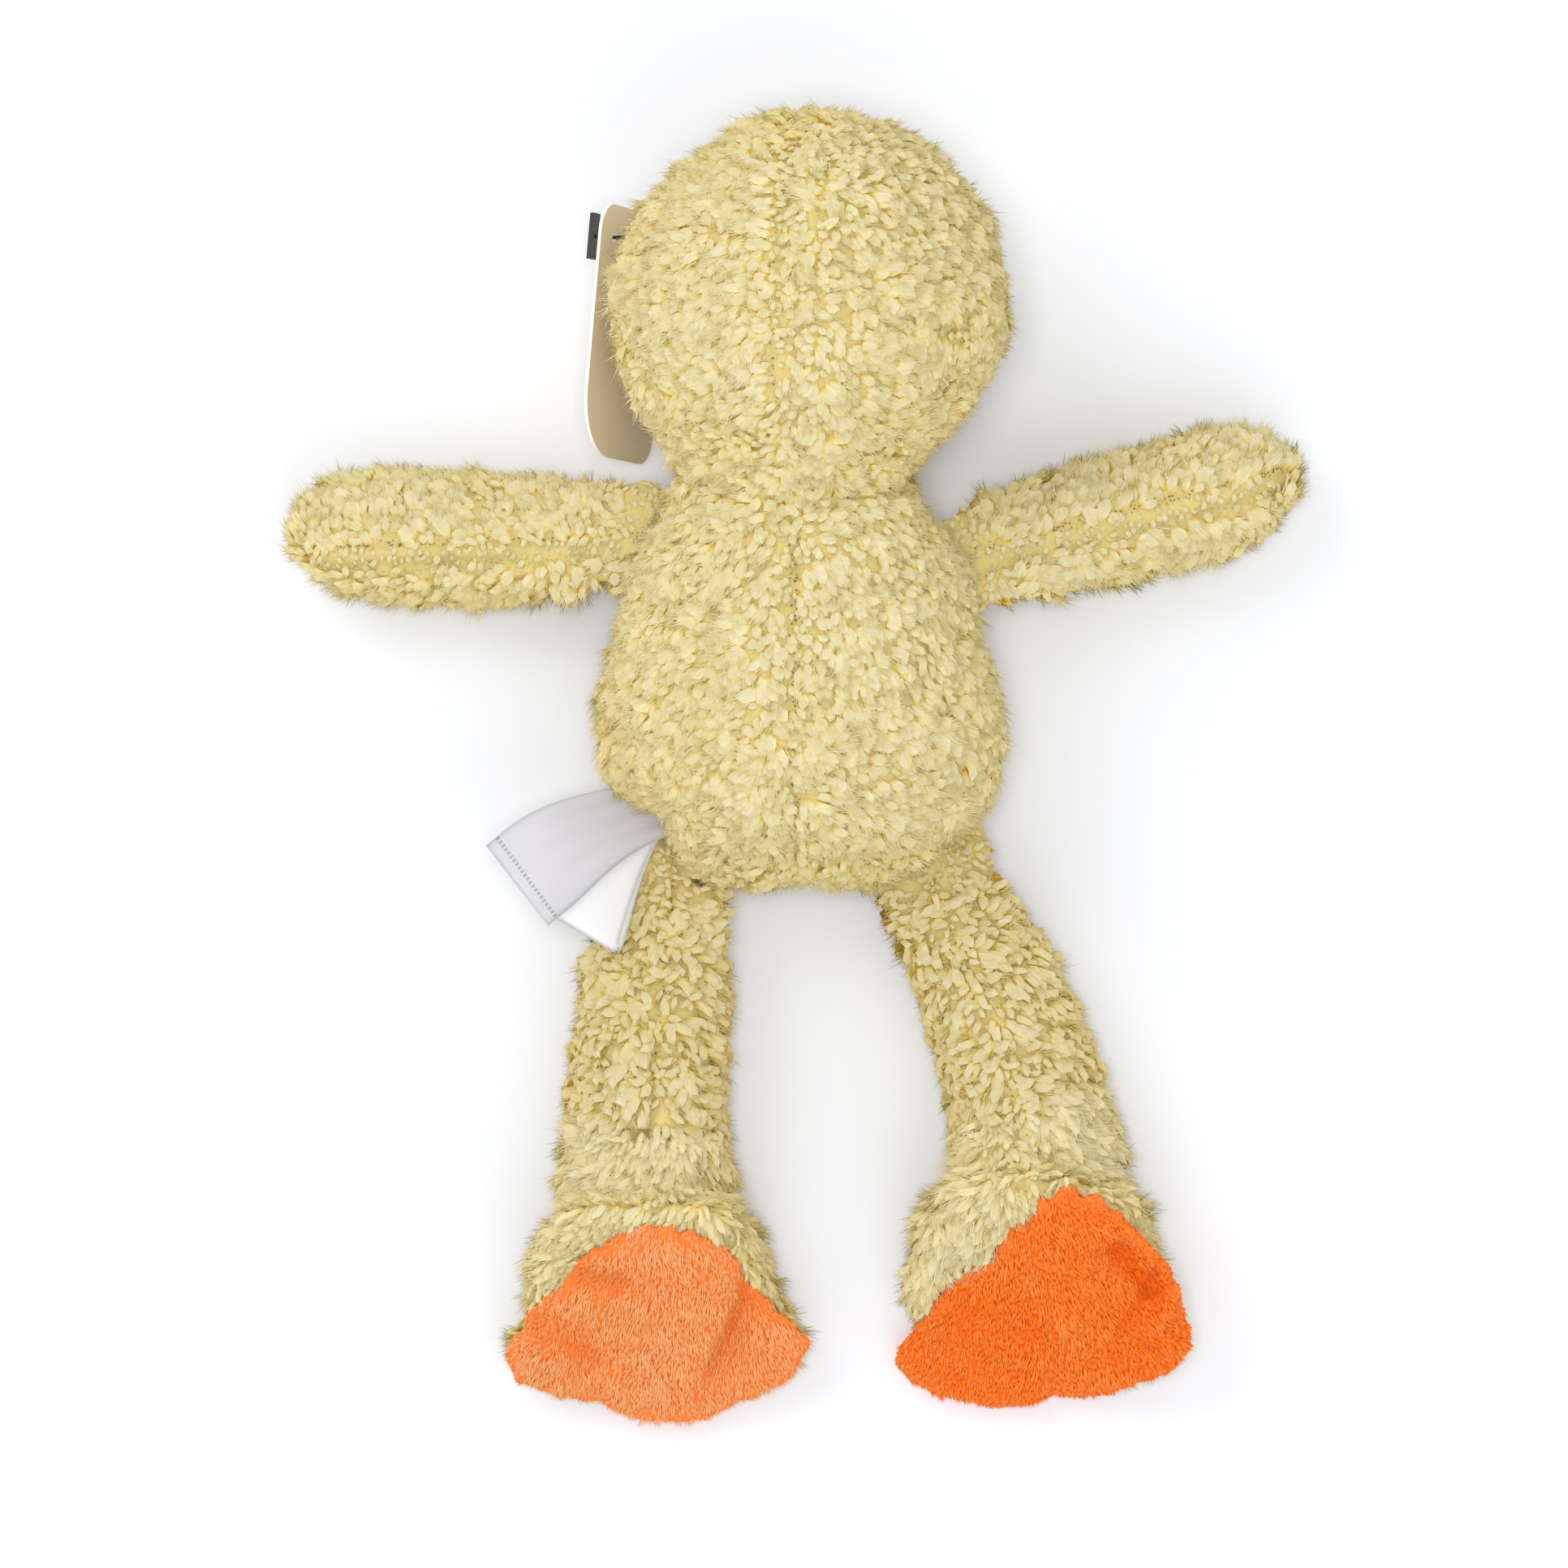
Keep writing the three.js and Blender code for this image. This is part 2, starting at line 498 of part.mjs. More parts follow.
for (const leg of LEGS) {
  const hipX = leg.side * (BODY_WIDTH / 2 - HIP_INSET);
  const edge = sewnEdge(vec(hipX, BODY_WIDEST_Y, HIP_Z), Y.clone().negate(), X, LEG_ROOT / 2);
  const restZ = LEG_THICKNESS / 2 - FLOOR_CUT;
  const ankle = vec(leg.ankle[0], leg.ankle[1], restZ);
  const hip = edge.at.clone().setZ(restZ);
  const line = new THREE.QuadraticBezierCurve3(hip, vec(leg.bend[0], leg.bend[1], restZ), ankle);
  const length = line.getLength();
  const rootAlong = edge.along.x < 0 ? edge.along.clone().negate() : edge.along;
  const rings = [0, 7, 15, 24, 34, LEG_WEDGE, length - ANKLE_TAPER, length].map((s) => {
    const open = ease(s / LEG_WEDGE);
    const at = line.getPointAt(Math.min(1, s / length));
    const way = line.getTangentAt(Math.min(1, s / length));
    at.z = mix(HIP_Z, restZ, open);
    const across = vec().crossVectors(way, Z).negate().normalize();
    const side = rootAlong.clone().lerp(across, ease(s / 30)).normalize();
    const thick = s === length ? ANKLE_RADIUS : mix(ROOT_EDGE, LEG_THICKNESS / 2, open);
    const width = s === length ? ANKLE_RADIUS : mix(LEG_ROOT, LEG_WIDTH, open) / 2;
    return { at, side, up: Z, width, above: thick, below: thick };
  });
  const legForm = (inset, around) => {
    return aboveFloor(form(rings, { startCap: ROOT_EDGE, endCap: ANKLE_RADIUS, around, inset }));
  };
  const hinge = X.clone().applyAxisAngle(Z, rad(leg.side * HIP_SLANT));
  let outer = legForm(0, 12);
  for (const swing of HIP_SWING) {
    outer = outer.subtract(turnedAbout(bodyRoom, edge.at, hinge, -swing));
  }
  const cover = outer.subtract(insideFloor(legForm(FLEECE, 8), FLEECE));
  const group = pivot(`${leg.name}_leg`, torso, edge.at, hinge);
  const middle = line.getPointAt(0.5);
  const cutWay = vec().crossVectors(ankle.clone().sub(hip).normalize(), Z).multiplyScalar(leg.side).negate();
  const [outside, inside] = split(cover, middle, cutWay.normalize());
  add(group, `${leg.name}_leg_outer_panel`, outside, "fleece");
  add(group, `${leg.name}_leg_inner_panel`, inside, "fleece");
  const fill = insideFloor(legForm(FLEECE + CLEARANCE, 8), FLEECE + CLEARANCE);
  add(group, `${leg.name}_leg_stuffing`, fill, "stuffing");

  // Foot: a wide slipper round the leg's end, cut slanting by the sole.
  const way = Y.clone().negate().applyAxisAngle(Z, rad(leg.heading));
  const across = vec().crossVectors(Z, way).normalize();
  const toeStart = FOOT_REACH - FOOT_TOE;
  const footRings = [-10, 0, 10, 20, 31, toeStart].map((s) => {
    const t = Math.max(0, s / toeStart);
    const middleZ = mix(restZ, FOOT_TOE_Z, t);
    const at = ankle.clone().addScaledVector(way, s).setZ(middleZ);
    const width = mix(FOOT_HEEL, FOOT_WIDTH / 2, t ** 1.1);
    return { at, side: across, up: Z, width, above: HEEL_Z + 2 - middleZ, below: middleZ + FLOOR_CUT };
  });
  const footForm = (inset, around) => {
    return aboveFloor(form(footRings, { startCap: 0.3, endCap: FOOT_TOE, around, inset, capSteps: 4 }));
  };
  const soleWay = Z.clone().applyAxisAngle(across, rad(SOLE_TILT)).applyAxisAngle(way, rad(leg.roll));
  if (soleWay.dot(way) < 0) {
    soleWay.copy(Z).applyAxisAngle(across, rad(-SOLE_TILT)).applyAxisAngle(way, rad(leg.roll));
  }
  const heel = ankle.clone().addScaledVector(way, HEEL_REACH).setZ(HEEL_Z);
  const under = (depth) => beyond(heel.clone().addScaledVector(soleWay, -depth), soleWay.clone().negate());
  const mouthWay = way.clone().applyAxisAngle(across, rad(ANKLE_LEAN));
  if (mouthWay.z < 0) {
    mouthWay.copy(way).applyAxisAngle(across, rad(-ANKLE_LEAN));
  }
  const mouthDeep = (ANKLE_RADIUS + CLEARANCE) * Math.cos(rad(ANKLE_OPEN));
  const pastMouth = beyond(ankle.clone().addScaledVector(mouthWay, mouthDeep), mouthWay);
  const ankleRoom = ballRoom(ankle, ANKLE_RADIUS + CLEARANCE, 16, 10);
  const slipper = footForm(0, 16).intersect(pastMouth).subtract(ankleRoom);
  const sole = slipper.intersect(under(0)).subtract(under(SOLE));
  const hollow = insideFloor(footForm(FLEECE, 10), FLEECE).intersect(under(SOLE));
  const upper = slipper.intersect(under(SOLE + SEAM_GAP)).subtract(hollow);
  const footInset = FLEECE + CLEARANCE;
  const footFill = insideFloor(footForm(footInset, 10), footInset).intersect(under(SOLE + CLEARANCE));
  const stuffing = footFill.intersect(pastMouth).subtract(ankleRoom);
  const foot = pivot(`${leg.name}_foot`, group, ankle, across.x < 0 ? across.clone().negate() : across);
  add(foot, `${leg.name}_foot_upper`, upper, "fleece");
  add(foot, `${leg.name}_foot_sole`, sole, "minky");
  add(foot, `${leg.name}_foot_stuffing`, stuffing, "stuffing");
}

// Labels: two strips on one arched line, sewn into the body's side.
const labelFrom = vec(0, BODY_WIDEST_Y, LABEL_Z);
const labelRay = X.clone().applyAxisAngle(Z, rad(LABEL_ANGLE));
const labelOut = X.clone().applyAxisAngle(Z, rad(LABEL_HEADING));
const labelAlong = vec().crossVectors(Z, labelOut);
const labelRoot = leaves(bodyRoom, labelFrom, labelRay).addScaledVector(labelOut, LABEL + CLEARANCE);
function strip(shift, lean, length, width, drop) {
  const way = labelOut.clone().applyAxisAngle(Z, rad(lean));
  const across = vec().crossVectors(Z, way);
  const points = [];
  const faces = [];
  const steps = 8;
  for (let step = 0; step <= steps; step++) {
    const middle = labelRoot.clone().addScaledVector(labelAlong, shift);
    middle.addScaledVector(way, (step / steps) * length);
    for (const [edge, raise] of [[-1, 0], [1, 0], [1, LABEL], [-1, LABEL]]) {
      const point = middle.clone().addScaledVector(across, (edge * width) / 2);
      const out = Math.max(0, point.clone().sub(labelRoot).dot(labelOut));
      const arch = Math.sin(Math.min(1, out / SATIN_LENGTH) * (Math.PI / 2));
      point.z = LABEL_Z + LABEL_RISE * arch + raise - drop;
      points.push(point);
    }
  }
  for (let step = 0; step < steps; step++) {
    for (let i = 0; i < 4; i++) {
      const a = step * 4 + i;
      const b = step * 4 + ((i + 1) % 4);
      faces.push(a, b, a + 4, b, b + 4, a + 4);
    }
  }
  const end = steps * 4;
  faces.push(0, 2, 1, 0, 3, 2, end, end + 1, end + 2, end, end + 2, end + 3);
  return closedSkin(points, faces);
}
const labels = pivot("labels", torso, labelRoot, labelAlong.clone().negate());
const labelSide = beyond(labelRoot, labelOut);
const satin = strip(0, 0, SATIN_LENGTH, SATIN_WIDTH, 0);
const care = strip(CARE_SHIFT, CARE_LEAN, CARE_LENGTH, CARE_WIDTH, CARE_DROP);
add(labels, "satin_label", satin.intersect(labelSide), "satin");
add(labels, "care_label", care.intersect(labelSide), "satin");

// Hang tag: a card beside the head on a bar, a thread and a cross bar.
const tagAcross = Y.clone().applyAxisAngle(Z, rad(TAG_TURN));
const tagIn = vec(Math.cos(rad(TAG_LEAN)), 0, Math.sin(rad(TAG_LEAN))).applyAxisAngle(Z, rad(TAG_TURN));
const tagDown = vec().crossVectors(tagAcross, tagIn);
const tagHole = vec(0, TAG_HOLE_Y, TAG_HOLE_Z);
const headSide = headMiddle.dot(tagIn) - HEAD_RADIUS;
tagHole.x = (headSide - TAG_AWAY - tagHole.dot(tagIn)) / tagIn.x;
const outline = new THREE.Shape();
const tagLow = TAG_HOLE_IN - TAG_LENGTH;
const tagFar = TAG_WIDTH - TAG_HOLE_IN;
outline.moveTo(-TAG_HOLE_IN, TAG_HOLE_IN - TAG_CORNER);
outline.lineTo(-TAG_HOLE_IN, tagLow + TAG_BIG_CORNER);
const tagCorner = (x, y, radius, quarter) => {
  outline.absarc(x, y, radius, (quarter * Math.PI) / 2, ((quarter + 1) * Math.PI) / 2);
};
tagCorner(TAG_BIG_CORNER - TAG_HOLE_IN, tagLow + TAG_BIG_CORNER, TAG_BIG_CORNER, 2);
tagCorner(tagFar - TAG_CORNER, tagLow + TAG_CORNER, TAG_CORNER, 3);
tagCorner(tagFar - TAG_CORNER, TAG_HOLE_IN - TAG_CORNER, TAG_CORNER, 0);
tagCorner(TAG_CORNER - TAG_HOLE_IN, TAG_HOLE_IN - TAG_CORNER, TAG_CORNER, 1);
outline.holes.push(new THREE.Path().absarc(0, 0, TAG_HOLE_RADIUS, 0, 2 * Math.PI, true));
const cardForm = new THREE.ExtrudeGeometry(outline, { depth: TAG, bevelEnabled: false, curveSegments: 6 });
const cardOut = vec().crossVectors(tagDown, tagAcross);
const tagFrame = new THREE.Matrix4().makeBasis(tagDown, tagAcross, cardOut).setPosition(tagHole);
const card = solidOf(cardForm.applyMatrix4(tagFrame));
const paddleShift = cardOut.dot(tagIn) < 0 ? TAG + PADDLE_AWAY + PADDLE[2] / 2 : -PADDLE_AWAY - PADDLE[2] / 2;
const paddleBox = new THREE.BoxGeometry(PADDLE[1], PADDLE[0], PADDLE[2]).translate(0, 0, paddleShift);
const threadFrom = tagHole.clone().addScaledVector(cardOut, paddleShift);
const headGap = tagHole.clone().sub(headMiddle);
const offLine = headGap.clone().addScaledVector(tagIn, -headGap.dot(tagIn)).length();
const barReach = -headGap.dot(tagIn) - Math.sqrt((HEAD_RADIUS - FLEECE) ** 2 - offLine ** 2) + 2;
const barAt = tagHole.clone().addScaledVector(tagIn, barReach);
const barEnds = (half) => [barAt.clone().addScaledVector(tagAcross, -half), barAt.clone().addScaledVector(tagAcross, half)];
const fastener = solidOf(paddleBox.applyMatrix4(tagFrame))
  .add(rod(FILAMENT, threadFrom, barAt))
  .add(rod(CROSS_BAR_RADIUS, ...barEnds(CROSS_BAR / 2)));
const threadRoom = rod(FILAMENT + CLEARANCE, threadFrom, barAt);
const barRoom = rod(CROSS_BAR_RADIUS + CLEARANCE, ...barEnds(CROSS_BAR / 2 + CLEARANCE));
const hang = pivot("hang_tag_swing", head, tagHole, tagIn.clone().negate());
add(hang, "hang_tag", card, "card");
add(head, "tag_fastener", fastener, "black");
headCover = headCover.subtract(threadRoom).subtract(barRoom);
headStuffing = headStuffing.subtract(threadRoom).subtract(barRoom);

const seamWay = X.clone().applyQuaternion(faceTurn);
const faceWay = Z.clone().applyQuaternion(faceTurn);
const faceEdge = headMiddle.clone().addScaledVector(faceWay, -FACE_SEAM);
const [headBack, headFace] = split(headCover, faceEdge, faceWay);
const [headRight, headLeft] = split(headBack, headMiddle, seamWay);
add(head, "head_back_left_panel", headLeft, "fleece");
add(head, "head_back_right_panel", headRight, "fleece");
add(head, "head_face_panel", headFace, "fleece");
add(head, "head_stuffing", headStuffing, "stuffing");
add(neck, "neck_thread", threadRing(0), "thread");

export default chick;
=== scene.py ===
# %% [markdown]
# A plush chick lies face down with its wings out. The frame already holds every panel, joint and
# measure, so this lesson only dresses it: soft stuffed forms, real pile that can be touched,
# velvety soles, two sewn labels and a card on a plastic fastener.

# %% Load the frame
import json
import math
import random

import bmesh
import bpy
import numpy as np
from mathutils import Matrix, Vector, noise
from mathutils.bvhtree import BVHTree

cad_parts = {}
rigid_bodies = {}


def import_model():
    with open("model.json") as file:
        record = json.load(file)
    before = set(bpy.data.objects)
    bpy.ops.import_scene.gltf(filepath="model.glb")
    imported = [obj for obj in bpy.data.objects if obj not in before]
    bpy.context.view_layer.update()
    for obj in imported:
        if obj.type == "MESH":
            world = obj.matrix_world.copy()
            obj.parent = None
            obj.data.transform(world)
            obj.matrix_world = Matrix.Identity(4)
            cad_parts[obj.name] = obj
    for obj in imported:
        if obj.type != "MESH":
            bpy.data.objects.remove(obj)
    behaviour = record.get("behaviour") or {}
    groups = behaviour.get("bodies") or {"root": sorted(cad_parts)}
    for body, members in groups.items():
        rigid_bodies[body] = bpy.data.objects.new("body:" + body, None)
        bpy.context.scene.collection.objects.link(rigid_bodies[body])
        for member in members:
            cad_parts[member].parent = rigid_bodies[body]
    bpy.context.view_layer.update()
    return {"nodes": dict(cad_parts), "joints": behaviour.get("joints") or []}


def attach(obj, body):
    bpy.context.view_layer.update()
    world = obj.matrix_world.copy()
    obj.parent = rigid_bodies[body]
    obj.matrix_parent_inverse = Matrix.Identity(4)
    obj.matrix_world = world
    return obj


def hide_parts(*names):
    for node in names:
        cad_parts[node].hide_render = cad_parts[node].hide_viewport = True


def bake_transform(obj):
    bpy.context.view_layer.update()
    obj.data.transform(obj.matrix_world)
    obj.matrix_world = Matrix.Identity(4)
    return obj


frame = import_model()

NODES = frame["nodes"]
MM = 0.001
SCENE = bpy.context.scene
JOINTS = {joint["name"]: joint for joint in frame["joints"]}
SWIRL_SEED = 7

noise.seed_set(SWIRL_SEED)

# %% [markdown]
# The camera hangs straight above the toy, as in the photograph. A wide lamp from the upper left gives
# the pile its relief, a small one overhead lights the back, and a third from beyond the feet keeps
# the slopes of the seat and the soles from going dull.

# %% Camera and lamps
CAMERA_AT = Vector((-4.4, -21.2, 1500)) * MM
FRAME_WIDTH = 398.4 * MM
SENSOR_WIDTH = 36
# Each lamp has its place and its size in metres, and its power in watts.
LAMPS = {"key lamp": ((-0.75, 0.65, 1.15), 0.7, 4.2),
         "top lamp": ((-0.05, 0.0, 1.5), 0.3, 7.8),
         "fill lamp": ((0.3, -0.8, 1.2), 1.0, 3.2)}

camera_data = bpy.data.cameras.new("camera")
camera_data.sensor_width = SENSOR_WIDTH
camera_data.lens = SENSOR_WIDTH * CAMERA_AT.z / FRAME_WIDTH
camera = bpy.data.objects.new("camera", camera_data)
camera.location = CAMERA_AT
SCENE.collection.objects.link(camera)
SCENE.camera = camera
SCENE.view_settings.view_transform = "Standard"

for title, (place, size, watts) in LAMPS.items():
    data = bpy.data.lights.new(title, "AREA")
    data.size = size
    data.energy = watts
    lamp = bpy.data.objects.new(title, data)
    lamp.location = place
    lamp.rotation_euler = (-Vector(place)).to_track_quat("-Z", "Y").to_euler()
    SCENE.collection.objects.link(lamp)
print("lens", round(camera_data.lens, 1), "mm and", len(LAMPS), "lamps")

# %% [markdown]
# World, floor and finishes are all webs of nodes, so one helper adds a node and joins it to the
# others. The world shows white behind the toy and lights it a little less. The floor is matt paper
# that looks a touch darker than it glows, because a floor past white would swallow the soft shadow.

# %% World and floor
FILL_LIGHT = 0.70
FLOOR_SIZE = 4
FLOOR_GLOW = (0.955, 0.962, 0.975)
FLOOR_SEEN = (0.835, 0.855, 0.90)


def node(tree, kind, inputs=None, **settings):
    """Adds a node, sets it up, and links or fills the named sockets. Colours come without alpha."""
    made = tree.nodes.new(kind)
    for key, value in settings.items():
        setattr(made, key, value)
    for key, value in (inputs or {}).items():
        socket = made.inputs[key]
        if isinstance(value, bpy.types.NodeSocket):
            tree.links.new(value, socket)
        elif socket.type == "RGBA":
            socket.default_value = (*value, 1)
        else:
            socket.default_value = value
    return made


def seen_share(tree):
    """1 for rays that show the background, straight, mirrored or through glass."""
    path = node(tree, "ShaderNodeLightPath").outputs
    share = node(tree, "ShaderNodeMath", {0: path["Is Camera Ray"], 1: path["Is Glossy Ray"]},
                 operation="MAXIMUM").outputs[0]
    return node(tree, "ShaderNodeMath", {0: share, 1: path["Is Transmission Ray"]},
                operation="MAXIMUM").outputs[0]


def to_object(title, bm):
    """A new object from a bmesh, which is freed."""
    mesh = bpy.data.meshes.new(title)
    bm.to_mesh(mesh)
    bm.free()
    obj = bpy.data.objects.new(title, mesh)
    SCENE.collection.objects.link(obj)
    return obj


world = bpy.data.worlds.new("studio")
SCENE.world = world
world.use_nodes = True
sky = world.node_tree
sky.nodes.clear()
fill = node(sky, "ShaderNodeBackground", {"Color": (1, 1, 1), "Strength": FILL_LIGHT})
white = node(sky, "ShaderNodeBackground", {"Color": (1, 1, 1), "Strength": 1.0})
pick = node(sky, "ShaderNodeMixShader", {0: seen_share(sky), 1: fill.outputs[0], 2: white.outputs[0]})
node(sky, "ShaderNodeOutputWorld", {"Surface": pick.outputs[0]})

bm = bmesh.new()
bmesh.ops.create_grid(bm, x_segments=1, y_segments=1, size=FLOOR_SIZE)
floor = to_object("floor", bm)
floor_paper = bpy.data.materials.new("floor paper")
floor_paper.use_nodes = True
paper = floor_paper.node_tree
tone = node(paper, "ShaderNodeMix", {0: seen_share(paper), 6: FLOOR_GLOW, 7: FLOOR_SEEN}, data_type="RGBA")
matt = node(paper, "ShaderNodeBsdfDiffuse", {"Color": tone.outputs[2]})
paper.links.new(matt.outputs[0], paper.nodes["Material Output"].inputs["Surface"])
floor.data.materials.append(floor_paper)
print("floor", 2 * FLOOR_SIZE, "m wide")

# %% [markdown]
# Fleece is pale where its tips catch the light and golden down at the knit, and the finish paints part of
# that shade: the colour darkens from the tip of each lock to its root, an occlusion node darkens the gaps,
# and locks on skin that faces aside or lies in a fold get a warmer painted shade. Each lock carries a few
# numbers on its mesh: how far up it a point lies, how far to its side, and a shade of its own. The finish
# reads them, so no picture is needed and the look follows the pile through every pose.

# %% Helpers for finishes
def new_finish(title, roughness, sheen=0.0):
    """A material with its main shader, ready for nodes."""
    made = bpy.data.materials.new(title)
    made.use_nodes = True
    shader = made.node_tree.nodes["Principled BSDF"]
    shader.inputs["Roughness"].default_value = roughness
    shader.inputs["Sheen Weight"].default_value = sheen
    return made, made.node_tree, shader


def ramp(tree, value, *stops):
    """A colour ramp with stops of (place, colour)."""
    made = node(tree, "ShaderNodeValToRGB", {"Fac": value})
    edge = made.color_ramp.elements
    for end, (place, colour) in ((0, stops[0]), (1, stops[-1])):
        edge[end].position = place
        edge[end].color = (*colour, 1)
    for place, colour in stops[1:-1]:
        edge.new(place).color = (*colour, 1)
    return made.outputs["Color"]


def blend_colour(tree, share, one, two, how="MIX"):
    """Mixes two colours."""
    return node(tree, "ShaderNodeMix", {0: share, 6: one, 7: two},
                data_type="RGBA", blend_type=how).outputs[2]


def dyed(tree, colour, dye):
    """A colour that is multiplied by another."""
    return blend_colour(tree, 1.0, colour, dye, "MULTIPLY")


def noise_on(tree, size, detail):
    """Soft noise whose blobs are about size metres wide."""
    place = node(tree, "ShaderNodeTexCoord").outputs["Object"]
    return node(tree, "ShaderNodeTexNoise",
                {"Vector": place, "Scale": 1 / size, "Detail": detail}).outputs["Fac"]


def own_number(tree, name):
    """A number that the mesh carries."""
    return node(tree, "ShaderNodeAttribute", attribute_name=name).outputs["Fac"]


def paint(tree, shader, colour):
    """Gives the shader its colour."""
    tree.links.new(colour, shader.inputs["Base Color"])


def roughen(tree, shader, strength, distance, height):
    """Gives the shader a relief too fine for the mesh."""
    bump = node(tree, "ShaderNodeBump", {"Strength": strength, "Distance": distance, "Height": height})
    tree.links.new(bump.outputs[0], shader.inputs["Normal"])


print("helpers for finishes ready")

# %% Finishes of pile and knit
# Tints of painted shade: one for locks over skin that faces aside or down, one for the folds of the soles.
SIDE_SHADE_TINT = (1.05, 0.99, 0.80)
FOLD_SHADE_TINT = (1.0, 0.70, 0.42)
PLAIN_PATCH = (1.0, 0.99, 0.97)
STREAKS = ((0.92, 0.90, 0.83), (1.01, 1.015, 1.03))
STREAK_STRETCH = (3.2, 0.8, 40)
PAINTED_SHADE_REACH = 3 * MM


def pile_finish(title, wool, warm, fibre, patch_size, shades, deep):
    """Fibre that is deep gold at its root, partly as painted shade, pale at its tip and a little different
    from lock to lock, with painted shade in its gaps, on skin that faces aside and in folds.
    """
    made, tree, shader = new_finish(title, 0.95)
    shader.inputs["Specular IOR Level"].default_value = 0.0
    along = own_number(tree, "along")
    shade = own_number(tree, "shade")
    # Partly the fibre's own colour and partly painted shade: it darkens from the tip down to the root in
    # the pile.
    colour = ramp(tree, along, *zip((0.1, 0.5, 1.0), wool))
    patch = noise_on(tree, patch_size, 1.0)
    colour = dyed(tree, colour, ramp(tree, patch, (0.38, PLAIN_PATCH), (0.62, warm)))
    colour = dyed(tree, colour, ramp(tree, shade, *zip((0.0, 1.0), shades)))
    # Painted shade: a warmer tint on locks over skin that faces aside or down, and a deeper orange along
    # the folds of a sole.
    for name, tint in (("turned", SIDE_SHADE_TINT), ("fold", FOLD_SHADE_TINT)):
        colour = blend_colour(tree, own_number(tree, name), colour, dyed(tree, colour, tint))
    strand = node(tree, "ShaderNodeCombineXYZ", {0: own_number(tree, "strand"), 1: along, 2: shade})
    stretch = node(tree, "ShaderNodeVectorMath", {0: strand.outputs[0], 1: STREAK_STRETCH},
                   operation="MULTIPLY")
    fine = node(tree, "ShaderNodeTexNoise",
                {"Vector": stretch.outputs[0], "Scale": 1.0, "Detail": 2.0}).outputs["Fac"]
    colour = dyed(tree, colour, ramp(tree, fine, *zip((0.3, 0.65), STREAKS)))
    # Painted shade: an occlusion node darkens the colour towards the deep tint in the gaps between locks.
    painted_shade = node(tree, "ShaderNodeAmbientOcclusion", {"Distance": PAINTED_SHADE_REACH},
                  samples=4, only_local=True).outputs["AO"]
    colour = dyed(tree, colour, ramp(tree, painted_shade, (0.15, deep), (0.75, (1, 1, 1))))
    paint(tree, shader, colour)
    roughen(tree, shader, 0.35, fibre, fine)
    return made


def knit_finish(title, cloth, shade, hole, pitch):
    """The knit under the pile: a deep gold, partly painted shade, where the pile hides it, and open with
    small dark holes along a seam.
    """
    made, tree, shader = new_finish(title, 0.95)
    shader.inputs["Specular IOR Level"].default_value = 0.05
    place = node(tree, "ShaderNodeTexCoord").outputs["Object"]
    cells = node(tree, "ShaderNodeTexVoronoi", {"Vector": place, "Scale": 1 / pitch}).outputs["Distance"]
    spots = ramp(tree, cells, (0.22, hole), (0.48, cloth))
    paint(tree, shader, blend_colour(tree, own_number(tree, "open"), shade, spots))
    roughen(tree, shader, 0.6, 0.3 * MM, cells)
    return made


print("finishes of pile and knit ready")

# %% [markdown]
# The pile has the same pale yellow all over, but the longer curls of the legs show more of their
# golden roots, and the brushed feet less. The left sole was brushed up and looks paler than the
# right one. So each has its own wool: a colour for the root, the middle and the tip of a fibre.

# %% Fleece and plush
WARM = (1.0, 0.965, 0.88)
SHADES = ((0.95, 0.94, 0.91), (1.01, 1.01, 1.02))
FLEECE_FIBRE = 0.5 * MM
NAP_FIBRE = 0.3 * MM
BODY_WOOL = ((0.724, 0.524, 0.123), (0.816, 0.736, 0.424), (0.716, 0.671, 0.48))
LEG_WOOL = ((0.68, 0.465, 0.08), (0.755, 0.655, 0.315), (0.69, 0.62, 0.395))
FOOT_WOOL = ((0.80, 0.635, 0.24), (0.84, 0.745, 0.425), (0.78, 0.72, 0.48))
LEFT_PLUSH = ((1.0, 0.32, 0.08), (1.0, 0.445, 0.19), (1.0, 0.51, 0.26))
LEFT_SHADES = ((0.99, 0.93, 0.85), (1.0, 1.04, 1.12))
RIGHT_PLUSH = ((0.90, 0.08, 0.002), (1.0, 0.225, 0.026), (1.0, 0.33, 0.095))
RIGHT_SHADES = ((0.98, 0.88, 0.68), (1.0, 1.08, 1.35))
PLUSH_KNIT = (0.95, 0.22, 0.04)

# The last colour of each pile finish is the painted shade laid into the gaps between its locks.
FLEECE = pile_finish("fleece pile", BODY_WOOL, WARM, FLEECE_FIBRE, 45 * MM, SHADES, (1.05, 0.93, 0.40))
LEG_FLEECE = pile_finish("leg pile", LEG_WOOL, WARM, FLEECE_FIBRE, 30 * MM, SHADES, (1.03, 0.87, 0.25))
FOOT_FLEECE = pile_finish("foot pile", FOOT_WOOL, WARM, FLEECE_FIBRE, 30 * MM, SHADES, (1.0, 0.95, 0.70))
LEFT_NAP = pile_finish("left sole nap", LEFT_PLUSH, (1.0, 0.92, 0.84), NAP_FIBRE, 14 * MM, LEFT_SHADES,
                       (1.0, 0.80, 0.5))
RIGHT_NAP = pile_finish("right sole nap", RIGHT_PLUSH, (1.0, 0.90, 0.72), NAP_FIBRE, 12 * MM, RIGHT_SHADES,
                        (0.98, 0.74, 0.2))
# Where no seam is open, the knit shows its second colour, which is partly its own and partly painted shade
# for the gaps between the locks.
FLEECE_KNIT = knit_finish("fleece knit", (0.60, 0.48, 0.19), (0.70, 0.57, 0.23), (0.12, 0.07, 0.01),
                          1.0 * MM)
NAP_KNIT = knit_finish("sole knit", PLUSH_KNIT, PLUSH_KNIT, (0.7, 0.1, 0.01), 0.9 * MM)
print("cloth finishes ready")

